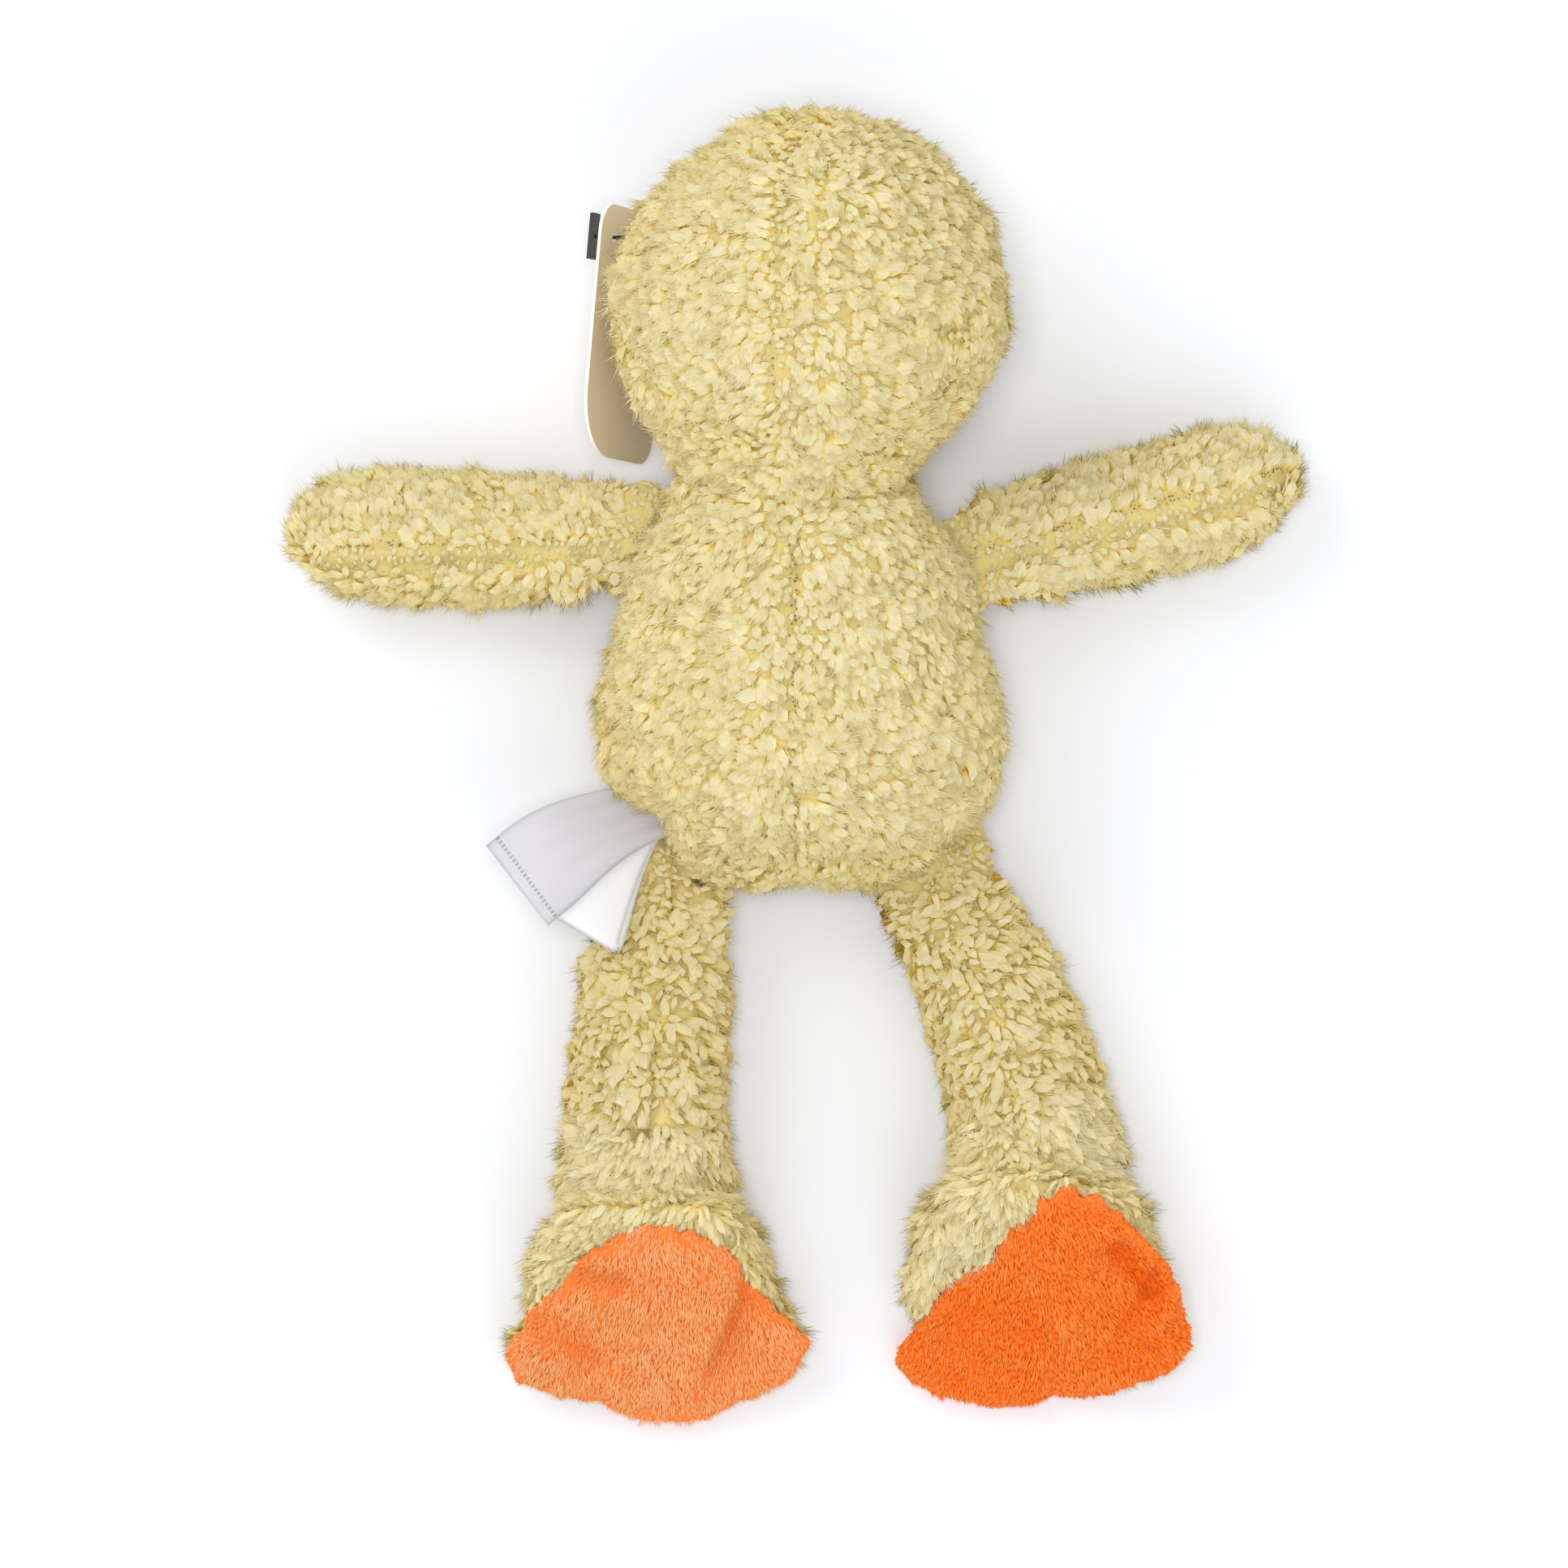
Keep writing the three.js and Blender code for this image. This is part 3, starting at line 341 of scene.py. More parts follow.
# %% [markdown]
# A stuffed form starts as a copy of the panels and the stuffing that it covers. A voxel remesh
# closes the sewing gaps into one skin, and the skin is drawn in by the depth of the pile, so that
# the piece keeps its size once the pile stands on it. Where a form meets its neighbour it keeps its
# full size, so that no gap opens between them. First come the tools that handle meshes.

# %% Tools for meshes
def opened(mesh):
    """A bmesh of a mesh."""
    bm = bmesh.new()
    bm.from_mesh(mesh)
    return bm


def close(bm, mesh):
    """Writes a bmesh back to a mesh and frees it."""
    bm.to_mesh(mesh)
    bm.free()
    mesh.update()


def rows_of(mesh, what):
    """A vector of every point of a mesh, as rows."""
    flat = np.empty(len(mesh.vertices) * 3)
    mesh.vertices.foreach_get(what, flat)
    return flat.reshape(-1, 3)


def places(mesh):
    """The points of a mesh as rows."""
    return rows_of(mesh, "co")


def facings(mesh):
    """The normals of a mesh as rows."""
    return rows_of(mesh, "normal")


def put(mesh, rows):
    """Moves the points of a mesh."""
    mesh.vertices.foreach_set("co", rows.ravel())
    mesh.update()


def joined(names):
    """Copies of CAD nodes in one bmesh, with their loose triangles merged."""
    bm = bmesh.new()
    for name in names:
        bm.from_mesh(NODES[name].data)
    bmesh.ops.remove_doubles(bm, verts=bm.verts, dist=0.01 * MM)
    return bm


def make_real(obj):
    """Swaps an object's mesh for what its modifiers make of it."""
    graph = bpy.context.evaluated_depsgraph_get()
    mesh = bpy.data.meshes.new_from_object(obj.evaluated_get(graph), preserve_all_data_layers=True,
                                           depsgraph=graph)
    obj.modifiers.clear()
    old = obj.data
    obj.data = mesh
    mesh.name = obj.name
    bpy.data.meshes.remove(old)


def smooth(bm, times):
    """Evens out the steps that a remesh leaves."""
    for _ in range(times):
        bmesh.ops.smooth_vert(bm, verts=bm.verts, factor=0.5, use_axis_x=True, use_axis_y=True,
                              use_axis_z=True)


def search_tree(bm):
    """A tree that finds the nearest spot of a bmesh, which is freed."""
    tree = BVHTree.FromBMesh(bm)
    bm.free()
    return tree


def distance_to(bm, rows):
    """How far each point lies from a bmesh, which is freed."""
    tree = search_tree(bm)
    return np.array([tree.find_nearest(Vector(row))[3] for row in rows])


def eased(value, low, high):
    """0 below low, 1 above high and smooth between."""
    t = np.clip((value - low) / (high - low), 0, 1)
    return t * t * (3 - 2 * t)


print("tools for meshes ready")

# %% Skins for the stuffed forms
PILE_DEPTH = 2.6 * MM
WALL_SHARE = 0.25
STEP_IN = 0.1 * MM


def outer_shell(mesh):
    """Keeps the largest shell: a remesh can leave bubbles in the gaps between panels."""
    bm = opened(mesh)
    left = set(bm.verts)
    shells = []
    while left:
        shell = [left.pop()]
        for vert in shell:
            for edge in vert.link_edges:
                other = edge.other_vert(vert)
                if other in left:
                    left.discard(other)
                    shell.append(other)
        shells.append(shell)
    shells.sort(key=len)
    for shell in shells[:-1]:
        bmesh.ops.delete(bm, geom=shell, context="VERTS")
    smooth(bm, 2)
    close(bm, mesh)


def wall_below(mesh):
    """How thick the form is below each point, so that thin edges aren't turned inside out."""
    tree = search_tree(opened(mesh))
    found = []
    for row, facing in zip(places(mesh), facings(mesh)):
        way = -Vector(facing)
        hit = tree.ray_cast(Vector(row) + way * STEP_IN, way)
        found.append(hit[3] if hit[0] else 0.0)
    return np.array(found)


def stuffed_form(title, covers, near, voxel=4.0, depth=PILE_DEPTH, grown_on=()):
    """A closed skin over these CAD nodes, drawn in where its pile will stand."""
    obj = to_object(title, joined(covers + list(grown_on)))
    remesh = obj.modifiers.new("skin", "REMESH")
    remesh.mode = "VOXEL"
    remesh.voxel_size = voxel * MM
    make_real(obj)
    outer_shell(obj.data)
    rows = places(obj.data)
    open_air = eased(distance_to(joined(near), rows), 1.0 * MM, 6.0 * MM)
    drawn = np.minimum(depth, wall_below(obj.data) * WALL_SHARE) * open_air
    put(obj.data, rows - facings(obj.data) * drawn[:, None])
    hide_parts(*covers)
    return obj


SIDES = ("left", "right")
BODY_PANELS = ["body_back_left_panel", "body_back_right_panel", "body_belly_panel"]
HEAD_PANELS = ["head_back_left_panel", "head_back_right_panel", "head_face_panel"]
WING_PANELS = {side: [f"{side}_wing_top_panel", f"{side}_wing_under_panel"] for side in SIDES}
LEG_PANELS = {side: [f"{side}_leg_inner_panel", f"{side}_leg_outer_panel"] for side in SIDES}
LIMBS = WING_PANELS["left"] + WING_PANELS["right"] + LEG_PANELS["left"] + LEG_PANELS["right"]
FACE_PIECES = ["left_eye", "right_eye", "beak_upper", "beak_lower"]

forms = {}
forms["head"] = stuffed_form("head_fleece", HEAD_PANELS + ["head_stuffing"], BODY_PANELS + FACE_PIECES)
forms["body"] = stuffed_form("body_fleece", BODY_PANELS + ["body_stuffing", "pellet_pouch"],
                             HEAD_PANELS + LIMBS)
for side in SIDES:
    forms[f"{side}_wing"] = stuffed_form(
        f"{side}_wing_fleece", WING_PANELS[side] + [f"{side}_wing_stuffing"], BODY_PANELS, 3.5)
    forms[f"{side}_leg"] = stuffed_form(
        f"{side}_leg_fleece", LEG_PANELS[side] + [f"{side}_leg_stuffing"],
        BODY_PANELS + [f"{side}_foot_sole"], 3.5,
        grown_on=[f"{side}_foot_upper", f"{side}_foot_stuffing"])
    forms[f"{side}_sole"] = stuffed_form(
        f"{side}_sole_plush", [f"{side}_foot_sole"], [f"{side}_foot_upper"], 2.5, 1.0 * MM)
for part in ("upper", "lower"):
    forms[f"beak_{part}"] = stuffed_form(f"beak_{part}_plush", [f"beak_{part}"], HEAD_PANELS, 2.0, 0.8 * MM)
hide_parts("left_eye_washer", "right_eye_washer")
print("forms:", {name: len(obj.data.polygons) for name, obj in forms.items()})

# %% [markdown]
# Fibre pushes a sewn skin out from inside. Scaling a form up would only make it bigger, so a cloth
# simulation with inner pressure rounds it as stuffing does, and a cap keeps every point close to the
# frame. One subdivision then gives each skin enough points for its seams and creases.

# %% Swell the forms with inner pressure
SWELL_FRAMES = 20
SWELL_CAP = 1.6 * MM
SWELL_FORCE = 4


def swell(objs):
    """All forms swell in one run, and no point moves further than the cap."""
    for obj in objs:
        cloth = obj.modifiers.new("stuffing pressure", "CLOTH")
        cloth.settings.use_pressure = True
        cloth.settings.uniform_pressure_force = SWELL_FORCE
        cloth.settings.effector_weights.gravity = 0
        cloth.point_cache.frame_start = 1
        cloth.point_cache.frame_end = SWELL_FRAMES
    for count in range(1, SWELL_FRAMES + 1):
        SCENE.frame_set(count)
    graph = bpy.context.evaluated_depsgraph_get()
    for obj in objs:
        swollen = bpy.data.meshes.new_from_object(obj.evaluated_get(graph))
        rows = places(obj.data)
        moved = places(swollen) - rows
        reach = np.linalg.norm(moved, axis=1, keepdims=True)
        moved *= np.minimum(1, SWELL_CAP / np.maximum(reach, 1e-9))
        obj.modifiers.clear()
        put(obj.data, rows + moved)
        bpy.data.meshes.remove(swollen)
        print(obj.name, "moved at most", round(float(reach.max()) / MM, 2), "mm before the cap")
    SCENE.frame_set(1)


swell(list(forms.values()))

for obj in forms.values():
    finer = obj.modifiers.new("finer", "SUBSURF")
    finer.levels = 1
    finer.render_levels = 1
    make_real(obj)
    obj.data.shade_smooth()
print("faces after one subdivision:", sum(len(obj.data.polygons) for obj in forms.values()))

# %% [markdown]
# Sherpa fleece is a coat of short curled locks. Each lock here has one plump petal of wool, extruded
# link by link and bent over, and some thin fibres that fray from it. A few different locks are
# enough, because thousands of turned and scaled copies of them never look alike.

# %% Links and fibres
UP = Vector((0, 0, 1))


def tilted(lean, turn):
    """A rotation that leans a strand over and then turns it."""
    return Matrix.Rotation(turn, 3, "Z") @ Matrix.Rotation(lean, 3, "Y")


def stand(bm, verts, length, root, tilt):
    """Stands a new shape on its root, leaning as tilt says."""
    bmesh.ops.translate(bm, verts=verts, vec=(0, 0, length / 2))
    bmesh.ops.rotate(bm, verts=verts, cent=(0, 0, 0), matrix=tilt)
    bmesh.ops.translate(bm, verts=verts, vec=root)


def lay_links(bm, root, radius, sides, lengths, leans, turns, shrink):
    """One closed strand: a prism that is extruded link by link and ends in a point."""
    prism = bmesh.ops.create_cone(bm, cap_ends=True, segments=sides, radius1=radius * 0.8,
                                  radius2=radius, depth=lengths[0])["verts"]
    tilt = tilted(leans[0], turns[0])
    stand(bm, prism, lengths[0], root, tilt)
    ends = {face for vert in prism for face in vert.link_faces if len(face.verts) == sides}
    face = max(ends, key=lambda f: (f.calc_center_median() - Vector(root)).dot(tilt @ UP))
    for length, lean, turn in zip(lengths[1:], leans[1:], turns[1:]):
        face = bmesh.ops.extrude_discrete_faces(bm, faces=[face])["faces"][0]
        way = tilted(lean, turn) @ Vector((0, 0, length))
        centre = face.calc_center_median()
        bent = (tilt @ UP).rotation_difference(way).to_matrix()
        bmesh.ops.rotate(bm, verts=face.verts, cent=centre, matrix=bent)
        bmesh.ops.scale(bm, verts=face.verts, vec=(shrink,) * 3, space=Matrix.Translation(-centre))
        bmesh.ops.translate(bm, verts=face.verts, vec=way)
        tilt = bent @ tilt
    bmesh.ops.pointmerge(bm, verts=face.verts, merge_co=face.calc_center_median())


def fibre(bm, root, radius, length, lean, turn):
    """One fine fibre, a thin open spike."""
    spike = bmesh.ops.create_cone(bm, cap_ends=False, segments=3, radius1=radius, radius2=0,
                                  depth=length)["verts"]
    stand(bm, spike, length, root, tilted(lean, turn))


def number_points(bm, below, depth):
    """Writes how far up its lock each point lies, and how far to its side, for the finish."""
    along = bm.verts.layers.float.new("along")
    strand = bm.verts.layers.float.new("strand")
    for vert in bm.verts:
        vert[along] = min(1, max(0, (vert.co.z + below) / depth))
        vert[strand] = vert.co.y / MM


print("links and fibres ready")

# %% Locks of wool and nap
LEANS = {"fleece": (40, 70, 92), "curl": (20, 64, 106), "brush": (44, 68, 84)}
LOCK_LENGTH = {"fleece": 5.4, "curl": 6.6, "brush": 6.8}
LOCK_FINISH = {"fleece": FLEECE, "curl": LEG_FLEECE, "brush": FOOT_FLEECE}
PETAL = {"fleece": 1.3, "curl": 1.15, "brush": 0.95}
FIBRE_LENGTH = {"fleece": (0.45, 0.8), "curl": (0.35, 0.62), "brush": (0.4, 0.7)}
FIBRES = 12
FIBRE_RADIUS = 0.15 * MM
NAP_LENGTH = 2.8 * MM
NAP_STRANDS = 5
NAP_RADIUS = {"left": 0.17 * MM, "right": 0.21 * MM}
NAP_FINISH = {"left": LEFT_NAP, "right": RIGHT_NAP}


def lock(kind, number):
    """One lock: a plump petal of wool and the fine fibres that fray from it."""
    draw = random.Random(f"{kind} {number}")
    bm = bmesh.new()
    long = LOCK_LENGTH[kind] * MM * draw.uniform(0.88, 1.12)
    side = math.radians(draw.uniform(-20, 20))
    bend = math.radians(draw.uniform(-40, 40))
    leans = [math.radians(lean + draw.uniform(-7, 7)) for lean in LEANS[kind]]
    root = Vector((-1.2 * MM, 0, -0.7 * MM))
    lay_links(bm, root, PETAL[kind] * MM, 4, [long * 0.38, long * 0.30, long * 0.2], leans,
              [side, side + bend * 0.5, side + bend], 0.88)
    for _ in range(FIBRES):
        slip = draw.uniform(-1, 1)
        far = draw.uniform(0.0, 0.5) * long
        rise = (1.0 + draw.uniform(-0.3, 0.6)) * MM + far * 0.35
        spot = root + Vector((0.8 * MM + far * 0.8, slip * 1.1 * MM, rise))
        length = long * draw.uniform(*FIBRE_LENGTH[kind])
        lean = leans[1] + draw.uniform(-0.5, 0.35)
        turn = side + bend * 0.5 + slip * 0.5 + draw.uniform(-0.5, 0.5)
        fibre(bm, spot, FIBRE_RADIUS, length, lean, turn)
    number_points(bm, 0.2 * MM, 2.6 * MM)
    obj = to_object(f"{kind} lock {number}", bm)
    obj.data.materials.append(LOCK_FINISH[kind])
    return obj


def nap_lock(side, number):
    """Short velvety nap: fine strands that lie over together."""
    draw = random.Random(f"nap {number}")
    bm = bmesh.new()
    for _ in range(NAP_STRANDS):
        spot = Vector((draw.uniform(-0.6, 0.4) * MM, draw.uniform(-0.6, 0.6) * MM, -0.3 * MM))
        long = NAP_LENGTH * draw.uniform(0.8, 1.2)
        turn = math.radians(draw.uniform(-20, 20))
        leans = [math.radians(draw.uniform(40, 55)), math.radians(draw.uniform(70, 84))]
        lay_links(bm, spot, NAP_RADIUS[side], 3, [long * 0.5, long * 0.5], leans, [turn, turn], 0.8)
    number_points(bm, 0, 1.2 * MM)
    obj = to_object(f"{side} nap lock {number}", bm)
    obj.data.materials.append(NAP_FINISH[side])
    return obj


def lock_box(title, objs):
    """Puts locks in a collection of their own, out of the scene."""
    box = bpy.data.collections.new(title)
    for obj in objs:
        obj.data.shade_smooth()
        SCENE.collection.objects.unlink(obj)
        box.objects.link(obj)
    return box


LOCKS = {kind: lock_box(f"{kind} locks", [lock(kind, k) for k in range(6)]) for kind in LEANS}
for side in SIDES:
    LOCKS[f"{side} nap"] = lock_box(f"{side} nap locks", [nap_lock(side, k) for k in range(4)])

# %% [markdown]
# Hair curves are the usual way to grow fur, but the export would lose them. Geometry Nodes spread the
# locks over a skin instead, turn each one with the way the pile lies, and make them real mesh. Soft
# fibre scatters light, so the shading of each lock is then turned towards the skin below it.

# %% Spread locks over a skin
LOCK_HEIGHTS = (0.75, 1.25)
LOCK_TILT = (-0.42, 0.25)
SOFTNESS = 0.94
FLOOR_GAP = 0.1 * MM


def pile_tree(title, box, gap, seed, swing):
    """The nodes that scatter locks, turn them with the lay and keep the numbers of the finish."""
    tree = bpy.data.node_groups.new(title, "GeometryNodeTree")
    for way in ("INPUT", "OUTPUT"):
        tree.interface.new_socket("Geometry", in_out=way, socket_type="NodeSocketGeometry")
    skin = node(tree, "NodeGroupInput").outputs[0]

    def carried(name, kind):
        return node(tree, "GeometryNodeInputNamedAttribute", {"Name": name}, data_type=kind).outputs[0]

    def chance(kind, low, high, step):
        made = node(tree, "FunctionNodeRandomValue", {"Seed": seed + step}, data_type=kind)
        first, out = {"FLOAT": (2, 1), "INT": (4, 2)}[kind]
        made.inputs[first].default_value = low
        made.inputs[first + 1].default_value = high
        return made.outputs[out]

    spots = node(tree, "GeometryNodeDistributePointsOnFaces",
                 {"Mesh": skin, "Distance Min": gap * MM, "Density Max": 2.2 / (gap * MM) ** 2,
                  "Density Factor": carried("thick", "FLOAT"), "Seed": seed},
                 distribute_method="POISSON").outputs
    upright = node(tree, "FunctionNodeAlignRotationToVector", {"Vector": spots["Normal"]}, axis="Z")
    lying = node(tree, "FunctionNodeAlignRotationToVector",
                 {"Rotation": upright.outputs[0], "Vector": carried("lay", "FLOAT_VECTOR")},
                 axis="X", pivot_axis="Z")
    swing = math.radians(swing)
    angle = node(tree, "ShaderNodeCombineXYZ", {"Z": chance("FLOAT", -swing, swing, 1),
                                                "Y": chance("FLOAT", *LOCK_TILT, 2)})
    turn = node(tree, "FunctionNodeEulerToRotation", {0: angle.outputs[0]})
    stirred = node(tree, "FunctionNodeRotateRotation",
                   {"Rotation": lying.outputs[0], "Rotate By": turn.outputs[0]}, rotation_space="LOCAL")
    height = node(tree, "ShaderNodeMath",
                  {0: chance("FLOAT", *LOCK_HEIGHTS, 3), 1: carried("tall", "FLOAT")},
                  operation="MULTIPLY")
    choice = node(tree, "GeometryNodeCollectionInfo",
                  {"Collection": box, "Separate Children": True, "Reset Children": True})
    locks = node(tree, "GeometryNodeInstanceOnPoints",
                 {"Points": spots["Points"], "Instance": choice.outputs[0], "Pick Instance": True,
                  "Instance Index": chance("INT", 0, len(box.objects) - 1, 4),
                  "Rotation": stirred.outputs[0], "Scale": height.outputs[0]}).outputs[0]
    # Skin that faces aside or down is marked as turned, and the finish paints a warmer shade on the locks
    # there.
    up = node(tree, "ShaderNodeSeparateXYZ", {0: spots["Normal"]}).outputs[2]
    turned = node(tree, "ShaderNodeMapRange", {"Value": up, 1: 0.75, 2: 0.0, 3: 0.0, 4: 1.0}).outputs[0]
    for name, kind, value in (("shade", "FLOAT", chance("FLOAT", 0.0, 1.0, 5)), ("turned", "FLOAT", turned),
                              ("ground", "FLOAT_VECTOR", spots["Normal"])):
        locks = node(tree, "GeometryNodeStoreNamedAttribute",
                     {"Geometry": locks, "Name": name, "Value": value},
                     data_type=kind, domain="INSTANCE").outputs[0]
    real = node(tree, "GeometryNodeRealizeInstances", {"Geometry": locks})
    both = node(tree, "GeometryNodeJoinGeometry")
    tree.links.new(real.outputs[0], both.inputs[0])
    tree.links.new(skin, both.inputs[0])
    node(tree, "NodeGroupOutput", {0: both.outputs[0]})
    return tree


def unit(rows):
    """Rows of length 1."""
    return rows / np.maximum(np.linalg.norm(rows, axis=1, keepdims=True), 1e-9)


def soften(mesh, softness, lift):
    """Turns the shading of each lock towards the skin below it, and a little up."""
    flat = np.empty(len(mesh.vertices) * 3, np.float32)
    mesh.attributes["ground"].data.foreach_get("vector", flat)
    ground = flat.reshape(-1, 3)
    share = softness * (0.25 + 0.75 * eased(ground[:, 2:], -0.7, 0.0))
    share *= np.linalg.norm(ground, axis=1, keepdims=True) > 0.5
    ground = unit(ground + np.array((0, 0, lift)) * np.clip(ground[:, 2:] + 0.6, 0, 1))
    mesh.normals_split_custom_set_from_vertices(unit(facings(mesh) * (1 - share) + ground * share))


def grow_pile(obj, knit, box, gap, seed, swing=40, softness=SOFTNESS, lift=1.0):
    """Grows real pile on a combed skin of knit, with locks at least gap mm apart."""
    obj.data.materials.append(knit)
    tree = pile_tree(f"{obj.name} pile", box, gap, seed, swing)
    pile = obj.modifiers.new("pile", "NODES")
    pile.node_group = tree
    make_real(obj)
    bpy.data.node_groups.remove(tree)
    soften(obj.data, softness, lift)
    rows = places(obj.data)
    rows[:, 2] = np.maximum(rows[:, 2], FLOOR_GAP)
    put(obj.data, rows)
    for name in ("lay", "thick", "tall", "ground"):
        obj.data.attributes.remove(obj.data.attributes[name])
    obj.data.calc_loop_triangles()
    print(obj.name, "has", len(obj.data.loop_triangles), "triangles")


print("pile can be grown")

# %% [markdown]
# Handled fleece lies in swirls, clumps into tufts and parts along its seams. A comb in particle edit
# mode would leave strokes that nobody can repeat, so each skin stores numbers instead: which way its
# pile lies, where it is thin, short or gone, and where a seam is open enough to show the knit.

# %% Comb the pile
FULL_PILE = 0.78
LOCK_GAP = 1.45
TUFTS = 0.45


def store(mesh, name, kind, values):
    """Writes one value for each point."""
    made = mesh.attributes.new(name, kind, "POINT")
    field = "vector" if kind == "FLOAT_VECTOR" else "value"
    made.data.foreach_set(field, np.asarray(values, np.float32).ravel())


def stir(rows, size, seed):
    """Smooth random directions whose swirls are about size mm wide."""
    shift = Vector((seed, 0, 0))
    return np.array([noise.noise_vector(Vector(row) / (size * MM) + shift) for row in rows])


def comb(obj, lay, thick, tall=1.0, seam=0.0, tousle=0.9):
    """Stores which way the pile lies, where it is thin or short, and where a seam is open."""
    rows = places(obj.data)
    ones = np.ones(len(rows))
    store(obj.data, "open", "FLOAT", ones * seam)
    store(obj.data, "lay", "FLOAT_VECTOR", lay + stir(rows, 7, 29) * tousle)
    store(obj.data, "thick", "FLOAT", ones * thick)
    tufts = 1 + TUFTS * stir(rows, 6, 31)[:, 0]
    store(obj.data, "tall", "FLOAT", tufts * tall)


def clear_of(names, rows, bare):
    """1 for points more than bare mm away from these CAD nodes."""
    return eased(distance_to(joined(names), rows), (bare - 0.7) * MM, (bare + 0.7) * MM)


def upward(obj, low, high):
    """1 where a skin faces up, and 0 where it faces aside or down."""
    return eased(facings(obj.data)[:, 2], low, high)


def groove(distance, width):
    """1 on a line and 0 a few widths away."""
    return np.exp(-(distance / (width * MM)) ** 2)


def patchy(rows):
    """Patches from 0 to 1, because a seam is bare in some places and grown over in others."""
    return eased(stir(rows, 9, 37)[:, 1], -0.25, 0.3)


def parting(across, lines):
    """Thin spots along each line, in mm across a seam, and how the pile leans away from them."""
    gaps = [across - line * MM for line in lines]
    spots = np.max([groove(gap, 0.9) for gap in gaps], axis=0)
    lean = sum(gap / (2 * MM) * groove(gap, 2.4) for gap in gaps)
    return spots, lean


print("comb ready")

# %% [markdown]
# No stuffed toy is as even as its pattern. Sculpting would be an artist's way to show that, but its
# strokes can't be read or changed. Here a form is shaped by a few named pushes, seen from above in
# millimetres: seams and creases are pressed in, sewn ends are tucked into the body, and curls that
# clump together raise soft lumps.

# %% Shape a form with pushes
LUMP_DEPTH = 1.1 * MM
LUMP_SIZE = 4.5
TUCK_SLIP = 5 * MM
TUCK_FLARE = 0.08
FULL_DENT = 5


def press(obj, depth):
    """Presses a seam or crease into a skin by depth along its normals."""
    put(obj.data, places(obj.data) - facings(obj.data) * depth[:, None])


def lumpy(obj):
    """Raises soft lumps all over a skin."""
    rows = places(obj.data)
    lumps = stir(rows, LUMP_SIZE, 43)[:, 0] + 0.5 * stir(rows, LUMP_SIZE * 0.5, 47)[:, 0]
    put(obj.data, rows + facings(obj.data) * (lumps * LUMP_DEPTH)[:, None])


def mould(obj, *pushes):
    """Pushes a form: each push is a spot, a reach and a move, all in mm seen from above."""
    rows = places(obj.data)
    for x, y, reach, right, up in pushes:
        gap = np.hypot(rows[:, 0] - x * MM, rows[:, 1] - y * MM)
        rows = rows + groove(gap, reach)[:, None] * np.array((right, up, 0)) * MM
    put(obj.data, rows)


def tuck_in(obj, start, way, reach):
    """Pushes the sewn end of a limb into the body and flares it, so that no gap shows at the seam."""
    rows = places(obj.data)
    along = (rows - start) @ way
    share = (1 - eased(along, 0, reach))[:, None]
    off = rows - start - along[:, None] * way
    put(obj.data, rows + share * (off * TUCK_FLARE - way * TUCK_SLIP))


def line_gap(rows, one, two):
    """How far each point lies, seen from above, from the line between two spots in mm."""
    flat = rows[:, :2] / MM
    start = np.array(one)
    way = np.array(two) - start
    share = np.clip((flat - start) @ way / (way @ way), 0, 1)
    return np.linalg.norm(flat - start - share[:, None] * way, axis=1) * MM


def crease(obj, lines, share):
    """Presses creases down: each line has two ends, a width and a depth, all in mm."""
    rows = places(obj.data)
    pressed = np.zeros(len(rows))
    for one, two, width, deep in lines:
        dent = groove(line_gap(rows, one, two), width) * deep
        rows[:, 2] -= dent * MM * share
        pressed = np.maximum(pressed, dent / FULL_DENT)
    put(obj.data, rows)
    return pressed


print("shaping tools ready")

# %% [markdown]
# The head is a ball that looks a little to one side, so the seam down its back stands left of the
# middle. Along a seam the pile parts and leans away, and the knit shows between in small dark dots.
# A printed picture of them would stay flat, so here the pile really is thin along two lines.

# %% Head
SEAM_WIDTH = 1.6
HEAD_CENTRE = np.array((1.9, 94.747, 59.4)) * MM
HEAD_TURNED = math.radians(9)
HEAD_MOULD = [(-27, 134, 18, 1.2, -1.6), (38, 68, 12, -3, 0.6), (30, 52, 11, -5.2, 0)]
HEAD_PARTINGS = (-2.6, 8.8)
WEAKER_PARTING = 0.55
FACE_BARE = 0.4

head = forms["head"]
lumpy(head)
mould(head, *HEAD_MOULD)
rows = places(head.data) - HEAD_CENTRE
across = rows @ np.array((math.cos(HEAD_TURNED), 0, math.sin(HEAD_TURNED)))
behind = eased(rows @ np.array((-math.sin(HEAD_TURNED), 0, math.cos(HEAD_TURNED))), 2 * MM, 14 * MM)
above_neck = eased(rows[:, 1], -36 * MM, -28 * MM)
seam = groove(across, SEAM_WIDTH) * behind * above_neck
press(head, 1.0 * MM * seam)
spots, lean = parting(across, HEAD_PARTINGS)
spots *= behind * above_neck * np.where(across > 3 * MM, WEAKER_PARTING, 1)
lay = np.zeros_like(rows)
lay[:, 0] = np.tanh(across / (14 * MM)) + lean * behind * 2.2
lay[:, 1] = -0.45
lay += stir(rows, 16, 3) * (1.0 - 0.6 * spots)[:, None]
thick = FULL_PILE * (1 - 0.97 * spots * patchy(rows))
thick = clear_of(FACE_PIECES, places(head.data), FACE_BARE) * thick
comb(head, lay, thick, 1 - 0.4 * np.maximum(seam, spots), spots)
grow_pile(head, FLEECE_KNIT, LOCKS["fleece"], LOCK_GAP, 11)
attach(head, "head")

# %% [markdown]
# The body is a pear with a seam down its back and a soft fold above the legs, where the seat bends.
# The fold could be left to the shading of the pile, but then it would vanish from the side, so it is
# pressed into the skin and the pile over it is kept short.

